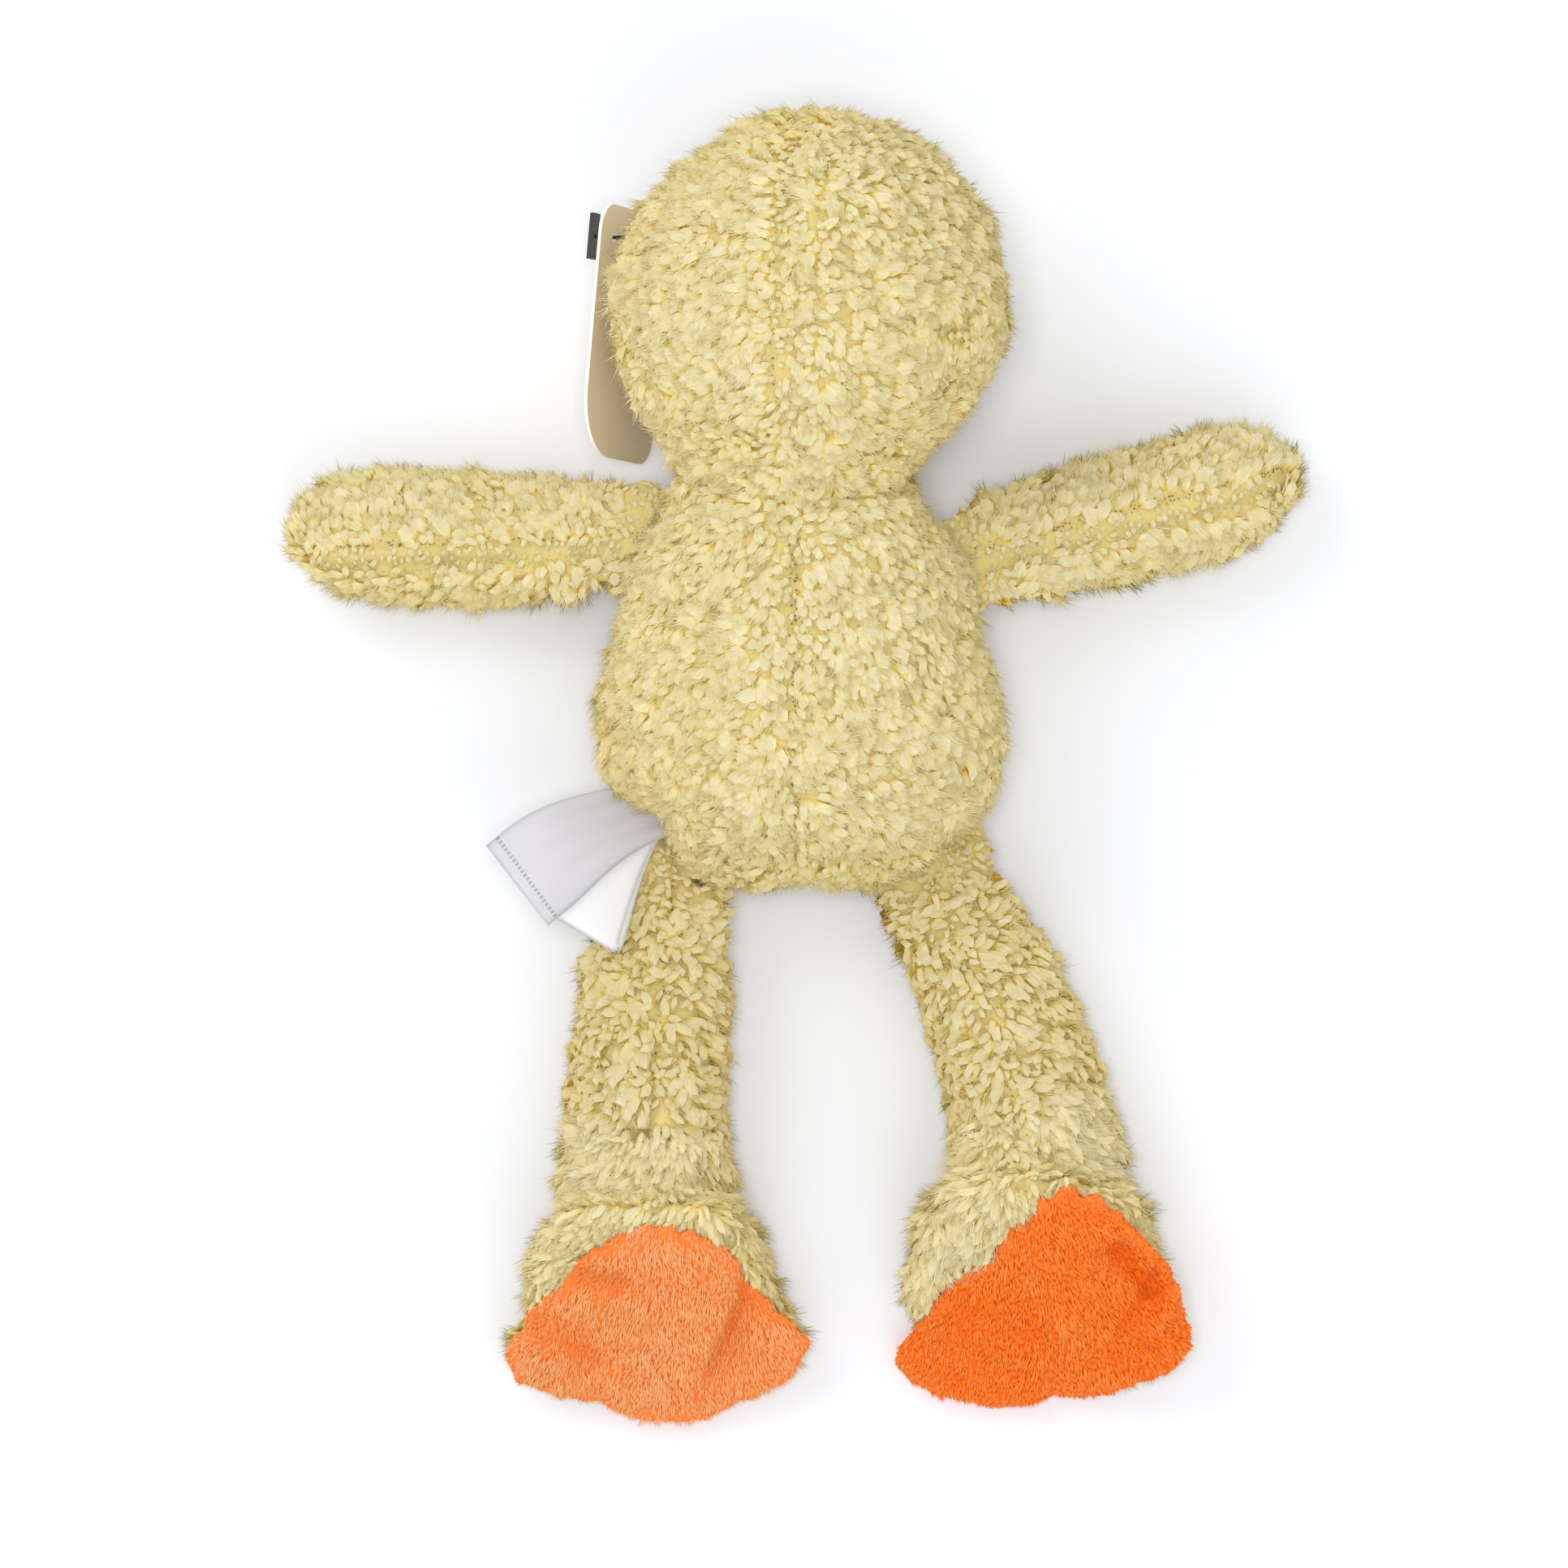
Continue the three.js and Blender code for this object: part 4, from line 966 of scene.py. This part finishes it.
# %% Body
BACK_SEAM_X = -2 * MM
BODY_CREASE = [((-38, -33), (-17, -38), 3.2, 4.0), ((-17, -38), (16, -38), 3.2, 4.0),
               ((16, -38), (42, -33), 3.2, 4.0)]
BODY_MOULD = [(-40, -33, 9, 4.5, 4.5), (-48, -1, 22, -0.8, 0), (45, 14, 13, -2, 0), (33, 48, 9, -3.4, -2),
              (-16, -45, 11, 0, -2.5), (15, -45, 11, 0, -2.5)]

body = forms["body"]
lumpy(body)
heights = places(body.data)[:, 2]
crease(body, BODY_CREASE, eased(heights, heights.mean() - 12 * MM, heights.mean()))
mould(body, *BODY_MOULD)
rows = places(body.data)
upper = upward(body, 0.1, 0.5)
belly = 1 - 0.35 * eased(-facings(body.data)[:, 2], 0.2, 0.7)
across = rows[:, 0] - BACK_SEAM_X
seam = groove(across, 1.8) * upper * (1 - eased(rows[:, 1], 36 * MM, 44 * MM))
press(body, 1.2 * MM * seam)
bent = np.max([groove(line_gap(rows, one, two), 2.2) for one, two, _, _ in BODY_CREASE], axis=0) * upper
lay = np.zeros_like(rows)
lay[:, 0] = np.tanh(across / (18 * MM)) * 0.9
lay[:, 1] = -0.7
lay += stir(rows, 18, 5) * 0.9
thick = FULL_PILE * (1 - 0.85 * seam * patchy(rows)) * (1 - 0.5 * bent) * belly
comb(body, lay, thick, 1 - 0.45 * np.maximum(seam, bent), np.maximum(seam, 0.6 * bent))
grow_pile(body, FLEECE_KNIT, LOCKS["fleece"], LOCK_GAP, 23)
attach(body, "torso")

# %% [markdown]
# A wing is a flat sleeve, sewn into the side of the body and closed along its lower edge. Beside that seam
# runs a smooth band of short pile with a row of dots. Its sewn root is pushed into the body and flared, so
# that no gap shows at the seam.

# %% Wings
WING_MOULD = {"left": [(-90, 20, 40, 0, -0.8), (-124, 43, 16, -2.6, 0), (-49, 24, 8, 0, -5),
                       (-41, 51, 9, 0, 2.5)],
              "right": [(121, 47, 10, -1.4, 0.8), (98, 67, 14, 0, -0.8), (52, 23, 12, 0, -1.5)]}
WING_HEADING = {"left": math.radians(182), "right": math.radians(15)}
WING_SEED = {"left": 31, "right": 37}
WING_SEAM = 5 * MM

for side in SIDES:
    wing = forms[f"{side}_wing"]
    pivot = np.array(JOINTS[f"{side}_wing_flap"]["pos_m"])
    out = np.array((math.cos(WING_HEADING[side]), math.sin(WING_HEADING[side]), 0))
    south = np.array((0, -1, 0)) + out * out[1]
    lumpy(wing)
    mould(wing, *WING_MOULD[side])
    tuck_in(wing, pivot, out, 16 * MM)
    rows = places(wing.data)
    across = (rows - pivot) @ south - WING_SEAM
    along = (rows - pivot) @ out
    upper = upward(wing, 0.2, 0.6)
    grown = np.maximum(upward(wing, 0.1, 0.4), eased(along, 1 * MM, 6 * MM))
    seam = groove(across, SEAM_WIDTH) * upper
    band = eased(across, -6.5 * MM, -5 * MM) * (1 - eased(across, -1 * MM, 0.5 * MM)) * upper
    dots = groove(across + 6 * MM, 1.1) * upper
    press(wing, 1.2 * MM * seam + 0.7 * MM * band)
    lay = out * 0.5 + south * np.tanh(across / (7 * MM))[:, None] * 0.9 + south * (band * 2.5)[:, None]
    lay = lay + stir(rows, 12, 7) * (0.8 - 0.5 * band)[:, None]
    thick = FULL_PILE * (1 - 0.9 * dots * patchy(rows)) * (1 - 0.5 * seam) * grown
    tall = (1 - 0.5 * band - 0.2 * seam) * (0.5 + 0.5 * eased(along, 0, 12 * MM))
    comb(wing, lay, thick, tall, np.maximum(dots, 0.4 * seam))
    grow_pile(wing, FLEECE_KNIT, LOCKS["fleece"], LOCK_GAP, WING_SEED[side])
    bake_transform(wing)

# %% [markdown]
# An orange sole is sewn over the front of each foot. Its outline was drawn round the one in the
# photograph, a few corners to a side, and the slab of the frame is drawn out or in to it along rays
# from its middle. A new flat shape would be simpler, but it would lose the slope of the foot.

# %% Outline of the soles
SOLE_MIDDLE = {"left": (-35, -155), "right": (62, -151)}
SOLE_OUTLINE = {
    "left": [(-37.5, -129), (-50, -134.5), (-60, -145), (-70.5, -156), (-76, -165), (-72, -173),
             (-52.5, -178), (-34.5, -183), (-14, -178), (-3, -172.5), (3.5, -160.5), (-5, -153.5),
             (-13.5, -145), (-16.5, -137.5), (-23.5, -132.5)],
    "right": [(64, -119), (54.5, -128.5), (47, -139.5), (31, -156), (20.5, -166), (25.5, -173),
              (43, -178.5), (64, -176.5), (84, -173.5), (94, -168.5), (99.5, -159.5), (96.5, -151),
              (88.5, -137), (82.5, -131), (76, -123.5)]}
SOLE_INSET = 0.3 * MM
SOLE_LOWEST = 4.5 * MM
RAYS = 145
RAY_WIDTH = 0.07


def round_sole(rows, side):
    """Where points lie round the middle of a sole: their gap, angle and reach, and how far its rim is."""
    middle = np.array(SOLE_MIDDLE[side])
    gap = rows[:, :2] - middle * MM
    angle = np.arctan2(gap[:, 1], gap[:, 0])
    corner = (np.array(SOLE_OUTLINE[side]) - middle) * MM
    turn = np.arctan2(corner[:, 1], corner[:, 0])
    order = np.argsort(turn)
    far = np.hypot(corner[:, 0], corner[:, 1])
    rim = np.interp(angle, turn[order], far[order], period=2 * math.pi)
    return gap, angle, np.hypot(gap[:, 0], gap[:, 1]), rim


def reshape(sole, side):
    """Draws a slab to the outline of its sole, and keeps its slope and thickness."""
    rows = places(sole.data)
    slope, _, _, _ = np.linalg.lstsq(np.c_[rows[:, :2], np.ones(len(rows))], rows[:, 2], rcond=None)
    gap, angle, reach, rim = round_sole(rows, side)
    rays = np.linspace(-math.pi, math.pi, RAYS)
    now = [reach[np.abs(np.angle(np.exp(1j * (angle - ray)))) < RAY_WIDTH].max() for ray in rays]
    share = (rim - SOLE_INSET) / np.interp(angle, rays, now)
    moved = rows.copy()
    moved[:, :2] = np.array(SOLE_MIDDLE[side]) * MM + gap * share[:, None]
    moved[:, 2] += (moved[:, :2] - rows[:, :2]) @ slope[:2]
    height = moved[:, :2] @ slope[:2] + slope[2]
    moved[:, 2] += np.maximum(0, SOLE_LOWEST - height)
    put(sole.data, moved)


def relax(obj, times):
    """Smooths a form."""
    bm = opened(obj.data)
    smooth(bm, times)
    close(bm, obj.data)


def under(rows, side, inset):
    """1 for points that lie inside the outline of a sole, more than inset mm from its rim."""
    _, _, reach, rim = round_sole(rows, side)
    return 1 - eased(reach, rim - (inset + 0.7) * MM, rim - (inset - 0.7) * MM)


def keep_within(foot, side, inset):
    """Draws the toe of a foot in, so that it stays inset mm behind the rim of its sole."""
    rows = places(foot.data)
    gap, angle, reach, rim = round_sole(rows, side)
    toe = eased(-angle, 0.15, 0.45) * (1 - eased(-angle, 2.7, 3.0))
    share = np.minimum(1, (rim - inset * MM) / np.maximum(reach, 1e-6))
    rows[:, :2] += gap * ((share - 1) * toe)[:, None]
    put(foot.data, rows)


def sink_below(foot, sole, depth):
    """Lowers what lies under a sole to depth mm below its top, so that nothing comes through it."""
    tree = search_tree(opened(sole.data))
    rows = places(foot.data)
    for row in rows:
        spot = tree.ray_cast(Vector((row[0], row[1], 1)), -UP)[0]
        if spot is not None:
            row[2] = min(row[2], max(spot.z - depth * MM, FLOOR_GAP))
    put(foot.data, rows)


print("sole outlines:", {side: len(SOLE_OUTLINE[side]) for side in SIDES}, "corners")

# %% [markdown]
# The soles are loose plush: a flap of the left one has dropped, and shallow folds run in from the rims. A
# leg and its foot are one tube of fleece, so they are shaped as one and then cut above the ankle. Both
# sides of the cut grow pile across it, so no step shows at the ankle.

# %% Shape legs, feet and soles
LEG_MOULD = {"left": [(-56, -94, 22, -2.2, 0), (-48, -63, 10, -2.5, 0), (-15, -86, 20, -0.8, 0),
                      (-17, -49, 9, 3, 0)],
             "right": [(30, -90, 18, 1.8, 0), (74, -92, 20, 1.4, 0), (24, -46, 9, -2.5, 0)]}
ANKLE_MOULD = {"left": [(-59, -124, 9, -3.6, 0), (-16, -122, 10, 5.6, 0)],
               "right": [(79, -113, 9, 3.6, 0.5), (80, -121, 9, 3, 0), (36, -116, 9, -2, 0)]}
FOOT_MOULD = {"left": [(-59, -174, 12, 0, 1.4), (2, -160, 11, 1.6, 0), (-26, -178, 12, 0, -1)],
              "right": [(35, -163, 14, -1, -5), (97, -157, 12, 2.6, 0), (23, -146, 13, 1.6, 0)]}
ANKLE_CREASE = {"left": [((-55, -113), (-46, -116), 3, 1.6)], "right": [((36, -102), (56, -109), 3, 3.6)]}
SOLE_FOLDS = {"left": [((-54.5, -143), (-45.5, -145), 3.6, 4.2), ((-65, -156), (-52, -164), 4.2, 3.8)],
              "right": [((82, -133), (90, -141), 2.8, -3.0), ((78, -136), (87, -147), 2.8, 5.0),
                        ((42, -152), (60, -160), 6, 2.2)]}
SOLE_FLAP = {"left": ((-15, -146), (-22.5, -164.5), 10, 9), "right": ((86, -141), (80, -152), 2.5, 8)}
ANKLE_CUT = 14 * MM


def fold(obj, one, two, drop, reach, share):
    """Lets the cloth right of a line drop by drop mm, and come back over reach mm."""
    rows = places(obj.data)
    way = np.array(two) - np.array(one)
    way = way / np.linalg.norm(way)
    off = rows[:, :2] / MM - np.array(one)
    past = off @ np.array((-way[1], way[0]))
    along = off @ way
    ends = eased(along, -8, 2) * (1 - eased(along, 16, 30))
    step = eased(past, -1.5, 2.0) * np.exp(-np.maximum(past, 0) / reach)
    rows[:, 2] -= drop * MM * step * ends * share
    put(obj.data, rows)
    return step * ends


def cut_off(obj, title, spot, way):
    """Cuts a form in two with some overlap and closes both ends. The far end becomes a new object."""
    parts = []
    for turn in (1, -1):
        bm = opened(obj.data)
        bmesh.ops.bisect_plane(bm, geom=bm.verts[:] + bm.edges[:] + bm.faces[:], clear_inner=True,
                               plane_co=spot - way * turn * 2 * MM, plane_no=way * turn)
        bmesh.ops.holes_fill(bm, edges=[edge for edge in bm.edges if edge.is_boundary])
        parts.append(bm)
    far = to_object(title, parts[0])
    close(parts[1], obj.data)
    return far


def leg_line(side):
    """Hip and ankle of a leg, and the way down from one to the other."""
    hip = np.array(JOINTS[f"{side}_hip"]["pos_m"])
    ankle = np.array(JOINTS[f"{side}_ankle"]["pos_m"])
    return hip, ankle, (ankle - hip) / np.linalg.norm(ankle - hip)


def leg_across(rows, side):
    """How far right of the seam down its leg each point lies."""
    hip, _, down = leg_line(side)
    return rows[:, 0] - hip[0] + (rows[:, 1] - hip[1]) * down[0] / -down[1]


def shape_leg(side):
    """Shapes a leg and its sole, and cuts the foot off. Also gives how deep the sole is folded, which later
    paints shade into its nap.
    """
    leg = forms[f"{side}_leg"]
    sole = forms[f"{side}_sole"]
    hip, ankle, down = leg_line(side)
    lumpy(leg)
    mould(leg, *LEG_MOULD[side], *ANKLE_MOULD[side], *FOOT_MOULD[side])
    tuck_in(leg, hip, down, 18 * MM)
    relax(sole, 8)
    reshape(sole, side)
    relax(sole, 2)
    beside = 1 - eased(distance_to(opened(sole.data), places(leg.data)), 3 * MM, 9 * MM)
    crease(leg, SOLE_FOLDS[side], beside)
    fold(leg, *SOLE_FLAP[side], beside)
    folded = crease(sole, SOLE_FOLDS[side], 1)
    folded = np.clip(folded + fold(sole, *SOLE_FLAP[side], 1), 0, 1)
    crease(leg, ANKLE_CREASE[side], eased(places(leg.data)[:, 2], 14 * MM, 26 * MM))
    press(leg, 1.2 * MM * groove(leg_across(places(leg.data), side), SEAM_WIDTH) * upward(leg, 0.2, 0.6))
    foot = cut_off(leg, f"{side}_foot_fleece", Vector(ankle - down * ANKLE_CUT), Vector(down))
    keep_within(foot, side, 3.5)
    sink_below(foot, sole, 2.2)
    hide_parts(f"{side}_foot_upper", f"{side}_foot_stuffing")
    return leg, foot, sole, folded


print("leg tools ready")

# %% [markdown]
# The legs have longer curls that part along a seam, the feet are brushed towards the toes, and the
# soles have a short nap that lies away from the ankle. Each sole could share the pile of the fleece,
# but plush is finer and shorter, so it has locks of its own.

# %% Legs, feet and soles
LEG_SEED = {"left": 41, "right": 43}
FOOT_SEED = {"left": 51, "right": 53}
SOLE_SEED = {"left": 61, "right": 67}
COMBED_ABOVE = 26 * MM
SOLE_RIM = 4
BRUSH_GAP = 1.35
NAP_GAP = 1.0


def clothe_leg(side, leg):
    """Grows curls on a leg, parted along its seam."""
    hip, ankle, down = leg_line(side)
    rows = places(leg.data)
    across = leg_across(rows, side)
    spots, lean = parting(across, (0,))
    seam = spots * upward(leg, 0.2, 0.6)
    lay = down * 0.6 + np.array((1, 0, 0)) * (np.tanh(across / (9 * MM)) * 0.7 + lean * 1.8)[:, None]
    lay = lay + stir(rows, 11, 9) * 1.1
    from_hip = (rows - hip) @ down
    grown = 1 - eased((rows - ankle) @ down, -ANKLE_CUT + 0.5 * MM, -ANKLE_CUT + 1.5 * MM)
    grown *= np.maximum(upward(leg, 0.1, 0.4), eased(from_hip, 0, 5 * MM))
    short = 0.6 + 0.4 * eased(from_hip, 0, 12 * MM)
    thick = FULL_PILE * (1 - 0.95 * seam * patchy(rows)) * grown
    comb(leg, lay, thick, (1 - 0.4 * seam) * short, seam)
    grow_pile(leg, FLEECE_KNIT, LOCKS["curl"], LOCK_GAP, LEG_SEED[side], 45)
    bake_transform(leg)


def clothe_foot(side, foot, sole):
    """Grows brushed pile on a foot, and none under its sole."""
    _, ankle, down = leg_line(side)
    rows = places(foot.data)
    edge = distance_to(opened(sole.data), rows)
    lay = unit(rows - (ankle - down * COMBED_ABOVE)) * np.array((1.0, 1.0, 0.2))
    lay = lay + stir(rows, 12, 13) * 0.6
    grown = eased((rows - ankle) @ down, -ANKLE_CUT - 1.5 * MM, -ANKLE_CUT - 0.5 * MM)
    covered = under(rows, side, 1.5) * upward(foot, -0.3, 0.1)
    thick = 0.85 * eased(edge, 0.2 * MM, 0.9 * MM) * grown * (1 - covered)
    comb(foot, lay, thick, 0.7 + 0.3 * eased(edge, 2 * MM, 7 * MM))
    grow_pile(foot, FLEECE_KNIT, LOCKS["brush"], BRUSH_GAP, FOOT_SEED[side], 28)
    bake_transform(foot)


def clothe_sole(side, sole, folded):
    """Grows short nap on a sole, shorter still at its rim and thin where it can't be seen."""
    _, ankle, down = leg_line(side)
    rows = places(sole.data)
    lay = unit(rows - (ankle - down * COMBED_ABOVE)) * np.array((1.0, 1.0, 0.3)) + stir(rows, 16, 17) * 0.35
    short = 0.4 + 0.6 * upward(sole, 0.15, 0.75)
    short *= 0.7 + 0.3 * under(rows, side, SOLE_RIM)
    thick = 1 - 0.75 * eased(-facings(sole.data)[:, 2], 0.2, 0.6)
    comb(sole, lay, thick, short, tousle=0.25)
    # The fold mask also paints a deeper orange shade into the nap along the folds.
    store(sole.data, "fold", "FLOAT", folded)
    grow_pile(sole, NAP_KNIT, LOCKS[f"{side} nap"], NAP_GAP, SOLE_SEED[side], 14, softness=0.8, lift=0.6)
    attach(sole, f"{side}_foot")


for side in SIDES:
    leg, foot, sole, folded = shape_leg(side)
    clothe_leg(side, leg)
    clothe_foot(side, foot, sole)
    clothe_sole(side, sole, folded)

# %% [markdown]
# The beak lies under the head. Its two halves are sewn from the plush of the soles, so they grow the
# same nap, combed down and away from the face, and none where they are sewn on.

# %% Beak
for part in ("upper", "lower"):
    beak = forms[f"beak_{part}"]
    rows = places(beak.data)
    lay = np.array((0, 0.1, -1)) + stir(rows, 10, 19) * 0.4
    comb(beak, lay, clear_of(HEAD_PANELS, rows, 0.8))
    grow_pile(beak, NAP_KNIT, LOCKS["right nap"], 1.2, 71, 18)
    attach(beak, "head")

# %% [markdown]
# Two labels are sewn into the left side of the body. Woven satin has a stiff cut edge and a stitched
# hem at its outer end, and the care label below it is one soft strip folded back on itself. Falling
# cloth would drop to the floor, but these are stiff, so both are cut as a flat grid, laid along the
# same arched line as in the frame, and left plain.

# %% Finish of the labels
HEM_AT = 0.925
HEM_WIDTH = 0.012


def label_finish(title, base, roughness, weave):
    """Woven ribbon: fine ribs across it and a hem that is stitched near the outer end."""
    made, tree, shader = new_finish(title, roughness, 0.2)
    place = node(tree, "ShaderNodeUVMap", uv_map="cloth").outputs[0]
    along = node(tree, "ShaderNodeSeparateXYZ", {0: place}).outputs[0]
    ribs = node(tree, "ShaderNodeTexWave",
                {"Vector": place, "Scale": weave, "Distortion": 0.6, "Detail": 1.0},
                bands_direction="X").outputs["Fac"]
    stitches = node(tree, "ShaderNodeTexWave", {"Vector": place, "Scale": 7.0}, bands_direction="Y")
    near = node(tree, "ShaderNodeMath", {0: along, 1: HEM_AT, 2: HEM_WIDTH}, operation="COMPARE")
    dots = node(tree, "ShaderNodeMath", {0: stitches.outputs["Fac"], 1: near.outputs[0]},
                operation="MULTIPLY")
    dark = tuple(channel * 0.55 for channel in base)
    pale = tuple(min(1, channel * 1.08) for channel in base)
    cloth = blend_colour(tree, ribs, base, pale)
    paint(tree, shader, blend_colour(tree, dots.outputs[0], cloth, dark))
    roughen(tree, shader, 0.25, 0.1 * MM, ribs)
    return made


LABEL_SATIN = label_finish("label satin", (0.55, 0.54, 0.58), 0.38, 60)
LABEL_NYLON = label_finish("label nylon", (0.75, 0.75, 0.77), 0.6, 90)
print("label finishes:", LABEL_SATIN.name, "and", LABEL_NYLON.name)

# %% Labels
LABEL_ROOT = Vector(JOINTS["label_flap"]["pos_m"])
LABEL_WAY = math.radians(209)
CARE_WAY = math.radians(243)
LABEL_RISE = 16.5 * MM
LABEL_SINK = 5.3 * MM
LABEL_TUCK = 11 * MM
ARCH_REACH = 46 * MM
SATIN_WIDTH = 25 * MM
SATIN_LENGTH = 41 * MM
SATIN_BEND = math.radians(16)
CARE_WIDTH = 22 * MM
CARE_LENGTH = 38.5 * MM
CARE_BEND = math.radians(-7)


def heading(angle):
    """A level direction."""
    return Vector((math.cos(angle), math.sin(angle), 0))


def label_height(spot):
    """The arched line that both labels follow, by how far a spot lies out from the seam."""
    far = ((spot - LABEL_ROOT).dot(heading(LABEL_WAY)) + LABEL_TUCK) / ARCH_REACH
    return LABEL_RISE * math.sin(min(1, max(0, far)) * math.pi / 2) - LABEL_SINK


def cut_label(title, width, length, way, bend, shift, drop, gather, folded):
    """One strip: a flat grid laid out from the seam, or out and back again where it is folded."""
    bm = bmesh.new()
    bm.loops.layers.uv.new("cloth")
    bmesh.ops.create_grid(bm, x_segments=48 if folded else 30, y_segments=16, size=0.5, calc_uvs=True)
    out = heading(way)
    side = Vector((-math.sin(way), math.cos(way), 0))
    seam = Vector((-math.sin(LABEL_WAY), math.cos(LABEL_WAY), 0))
    for vert in bm.verts:
        along = vert.co.x + 0.5
        across = vert.co.y
        leaf = 0.0
        if folded:
            leaf = eased(along, 0.47, 0.53)
            along = 1 - abs(1 - 2 * along)
        far = along * length - LABEL_TUCK
        turn = Matrix.Rotation(bend * (along - 0.45), 3, "Z")
        gathered = gather + (1 - gather) * eased(along, 0.05, 0.85)
        spot = LABEL_ROOT + seam * shift + out * far + turn @ (side * across * width * gathered)
        spot -= side * 2.5 * MM * math.sin(along * math.pi)
        spot += side * leaf * 1.4 * MM * along - out * leaf * 0.5 * MM
        ripple = 0.6 * MM * math.sin(along * 5 + across * 3) * along
        ripple += 1.6 * MM * (1 - gathered) * math.sin(across * 22)
        curl = -1.6 * MM * (abs(across) * 2) ** 3 * along ** 2
        spot.z += label_height(spot) - drop + ripple + curl - leaf * (0.5 + 0.9 * along) * MM
        vert.co = spot
    made = to_object(title, bm)
    made.data.shade_smooth()
    thick = made.modifiers.new("cloth", "SOLIDIFY")
    thick.thickness = 0.3 * MM
    thick.offset = 0
    make_real(made)
    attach(made, "labels")
    return made


satin = cut_label("satin_ribbon", SATIN_WIDTH, SATIN_LENGTH, LABEL_WAY, SATIN_BEND, 2.8 * MM, 0, 0.62,
                  False)
satin.data.materials.append(LABEL_SATIN)
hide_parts("satin_label")
care = cut_label("care_ribbon", CARE_WIDTH, CARE_LENGTH, CARE_WAY, CARE_BEND, 4.3 * MM, 2.2 * MM, 0.8, True)
care.data.materials.append(LABEL_NYLON)
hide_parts("care_label")
print("labels:", satin.name, "and", care.name)

# %% [markdown]
# Rigid pieces keep the shape they have in the frame and only get a finish: uncoated card with a
# white cut edge, black moulded plastic, glossy eyes with a brown depth, and twisted thread. Plain
# colours would do from afar, so a little grain is added for a close look.

# %% Card, fastener, eyes and thread
CARD_HOLE = Vector(JOINTS["tag_swing"]["pos_m"])
CARD_WAY = Vector(JOINTS["tag_swing"]["axis"])
CARD_THICK = 0.8 * MM
CARD_EDGE = (0.93, 0.92, 0.88)


def dress(name, finish):
    """Gives a CAD node its finish."""
    data = NODES[name].data
    data.materials.clear()
    data.materials.append(finish)


card, tree, shader = new_finish("card", 0.75)
place = node(tree, "ShaderNodeTexCoord").outputs["Object"]
gap = node(tree, "ShaderNodeVectorMath", {0: place, 1: CARD_HOLE}, operation="SUBTRACT").outputs[0]
depth = node(tree, "ShaderNodeVectorMath", {0: gap, 1: CARD_WAY}, operation="DOT_PRODUCT").outputs["Value"]
edge = node(tree, "ShaderNodeMath", {0: depth, 1: -CARD_THICK / 2, 2: CARD_THICK * 0.44},
            operation="COMPARE")
pulp = noise_on(tree, 0.6 * MM, 4.0)
face = ramp(tree, pulp, (0.35, (0.87, 0.76, 0.57)), (0.65, (0.92, 0.81, 0.63)))
paint(tree, shader, blend_colour(tree, edge.outputs[0], face, CARD_EDGE))
roughen(tree, shader, 0.15, 0.05 * MM, pulp)
dress("hang_tag", card)

plastic, tree, shader = new_finish("black plastic", 0.38)
flow = noise_on(tree, 3 * MM, 2.0)
paint(tree, shader, ramp(tree, flow, (0.3, (0.010, 0.010, 0.011)), (0.7, (0.020, 0.020, 0.022))))
roughen(tree, shader, 0.1, 0.05 * MM, flow)
dress("tag_fastener", plastic)

gloss, tree, shader = new_finish("eye gloss", 0.06)
shader.inputs["Coat Weight"].default_value = 0.6
deep = noise_on(tree, 5 * MM, 1.0)
paint(tree, shader, ramp(tree, deep, (0.4, (0.006, 0.005, 0.004)), (0.6, (0.016, 0.010, 0.006))))
dress("left_eye", gloss)
dress("right_eye", gloss)

thread, tree, shader = new_finish("sewing thread", 0.7, 0.2)
place = node(tree, "ShaderNodeTexCoord").outputs["Object"]
twist = node(tree, "ShaderNodeTexWave", {"Vector": place, "Scale": 400.0, "Distortion": 1.0},
             bands_direction="DIAGONAL").outputs["Fac"]
paint(tree, shader, ramp(tree, twist, (0.2, (0.70, 0.58, 0.26)), (0.8, (0.88, 0.80, 0.48))))
dress("neck_thread", thread)
print("rigid finishes ready")
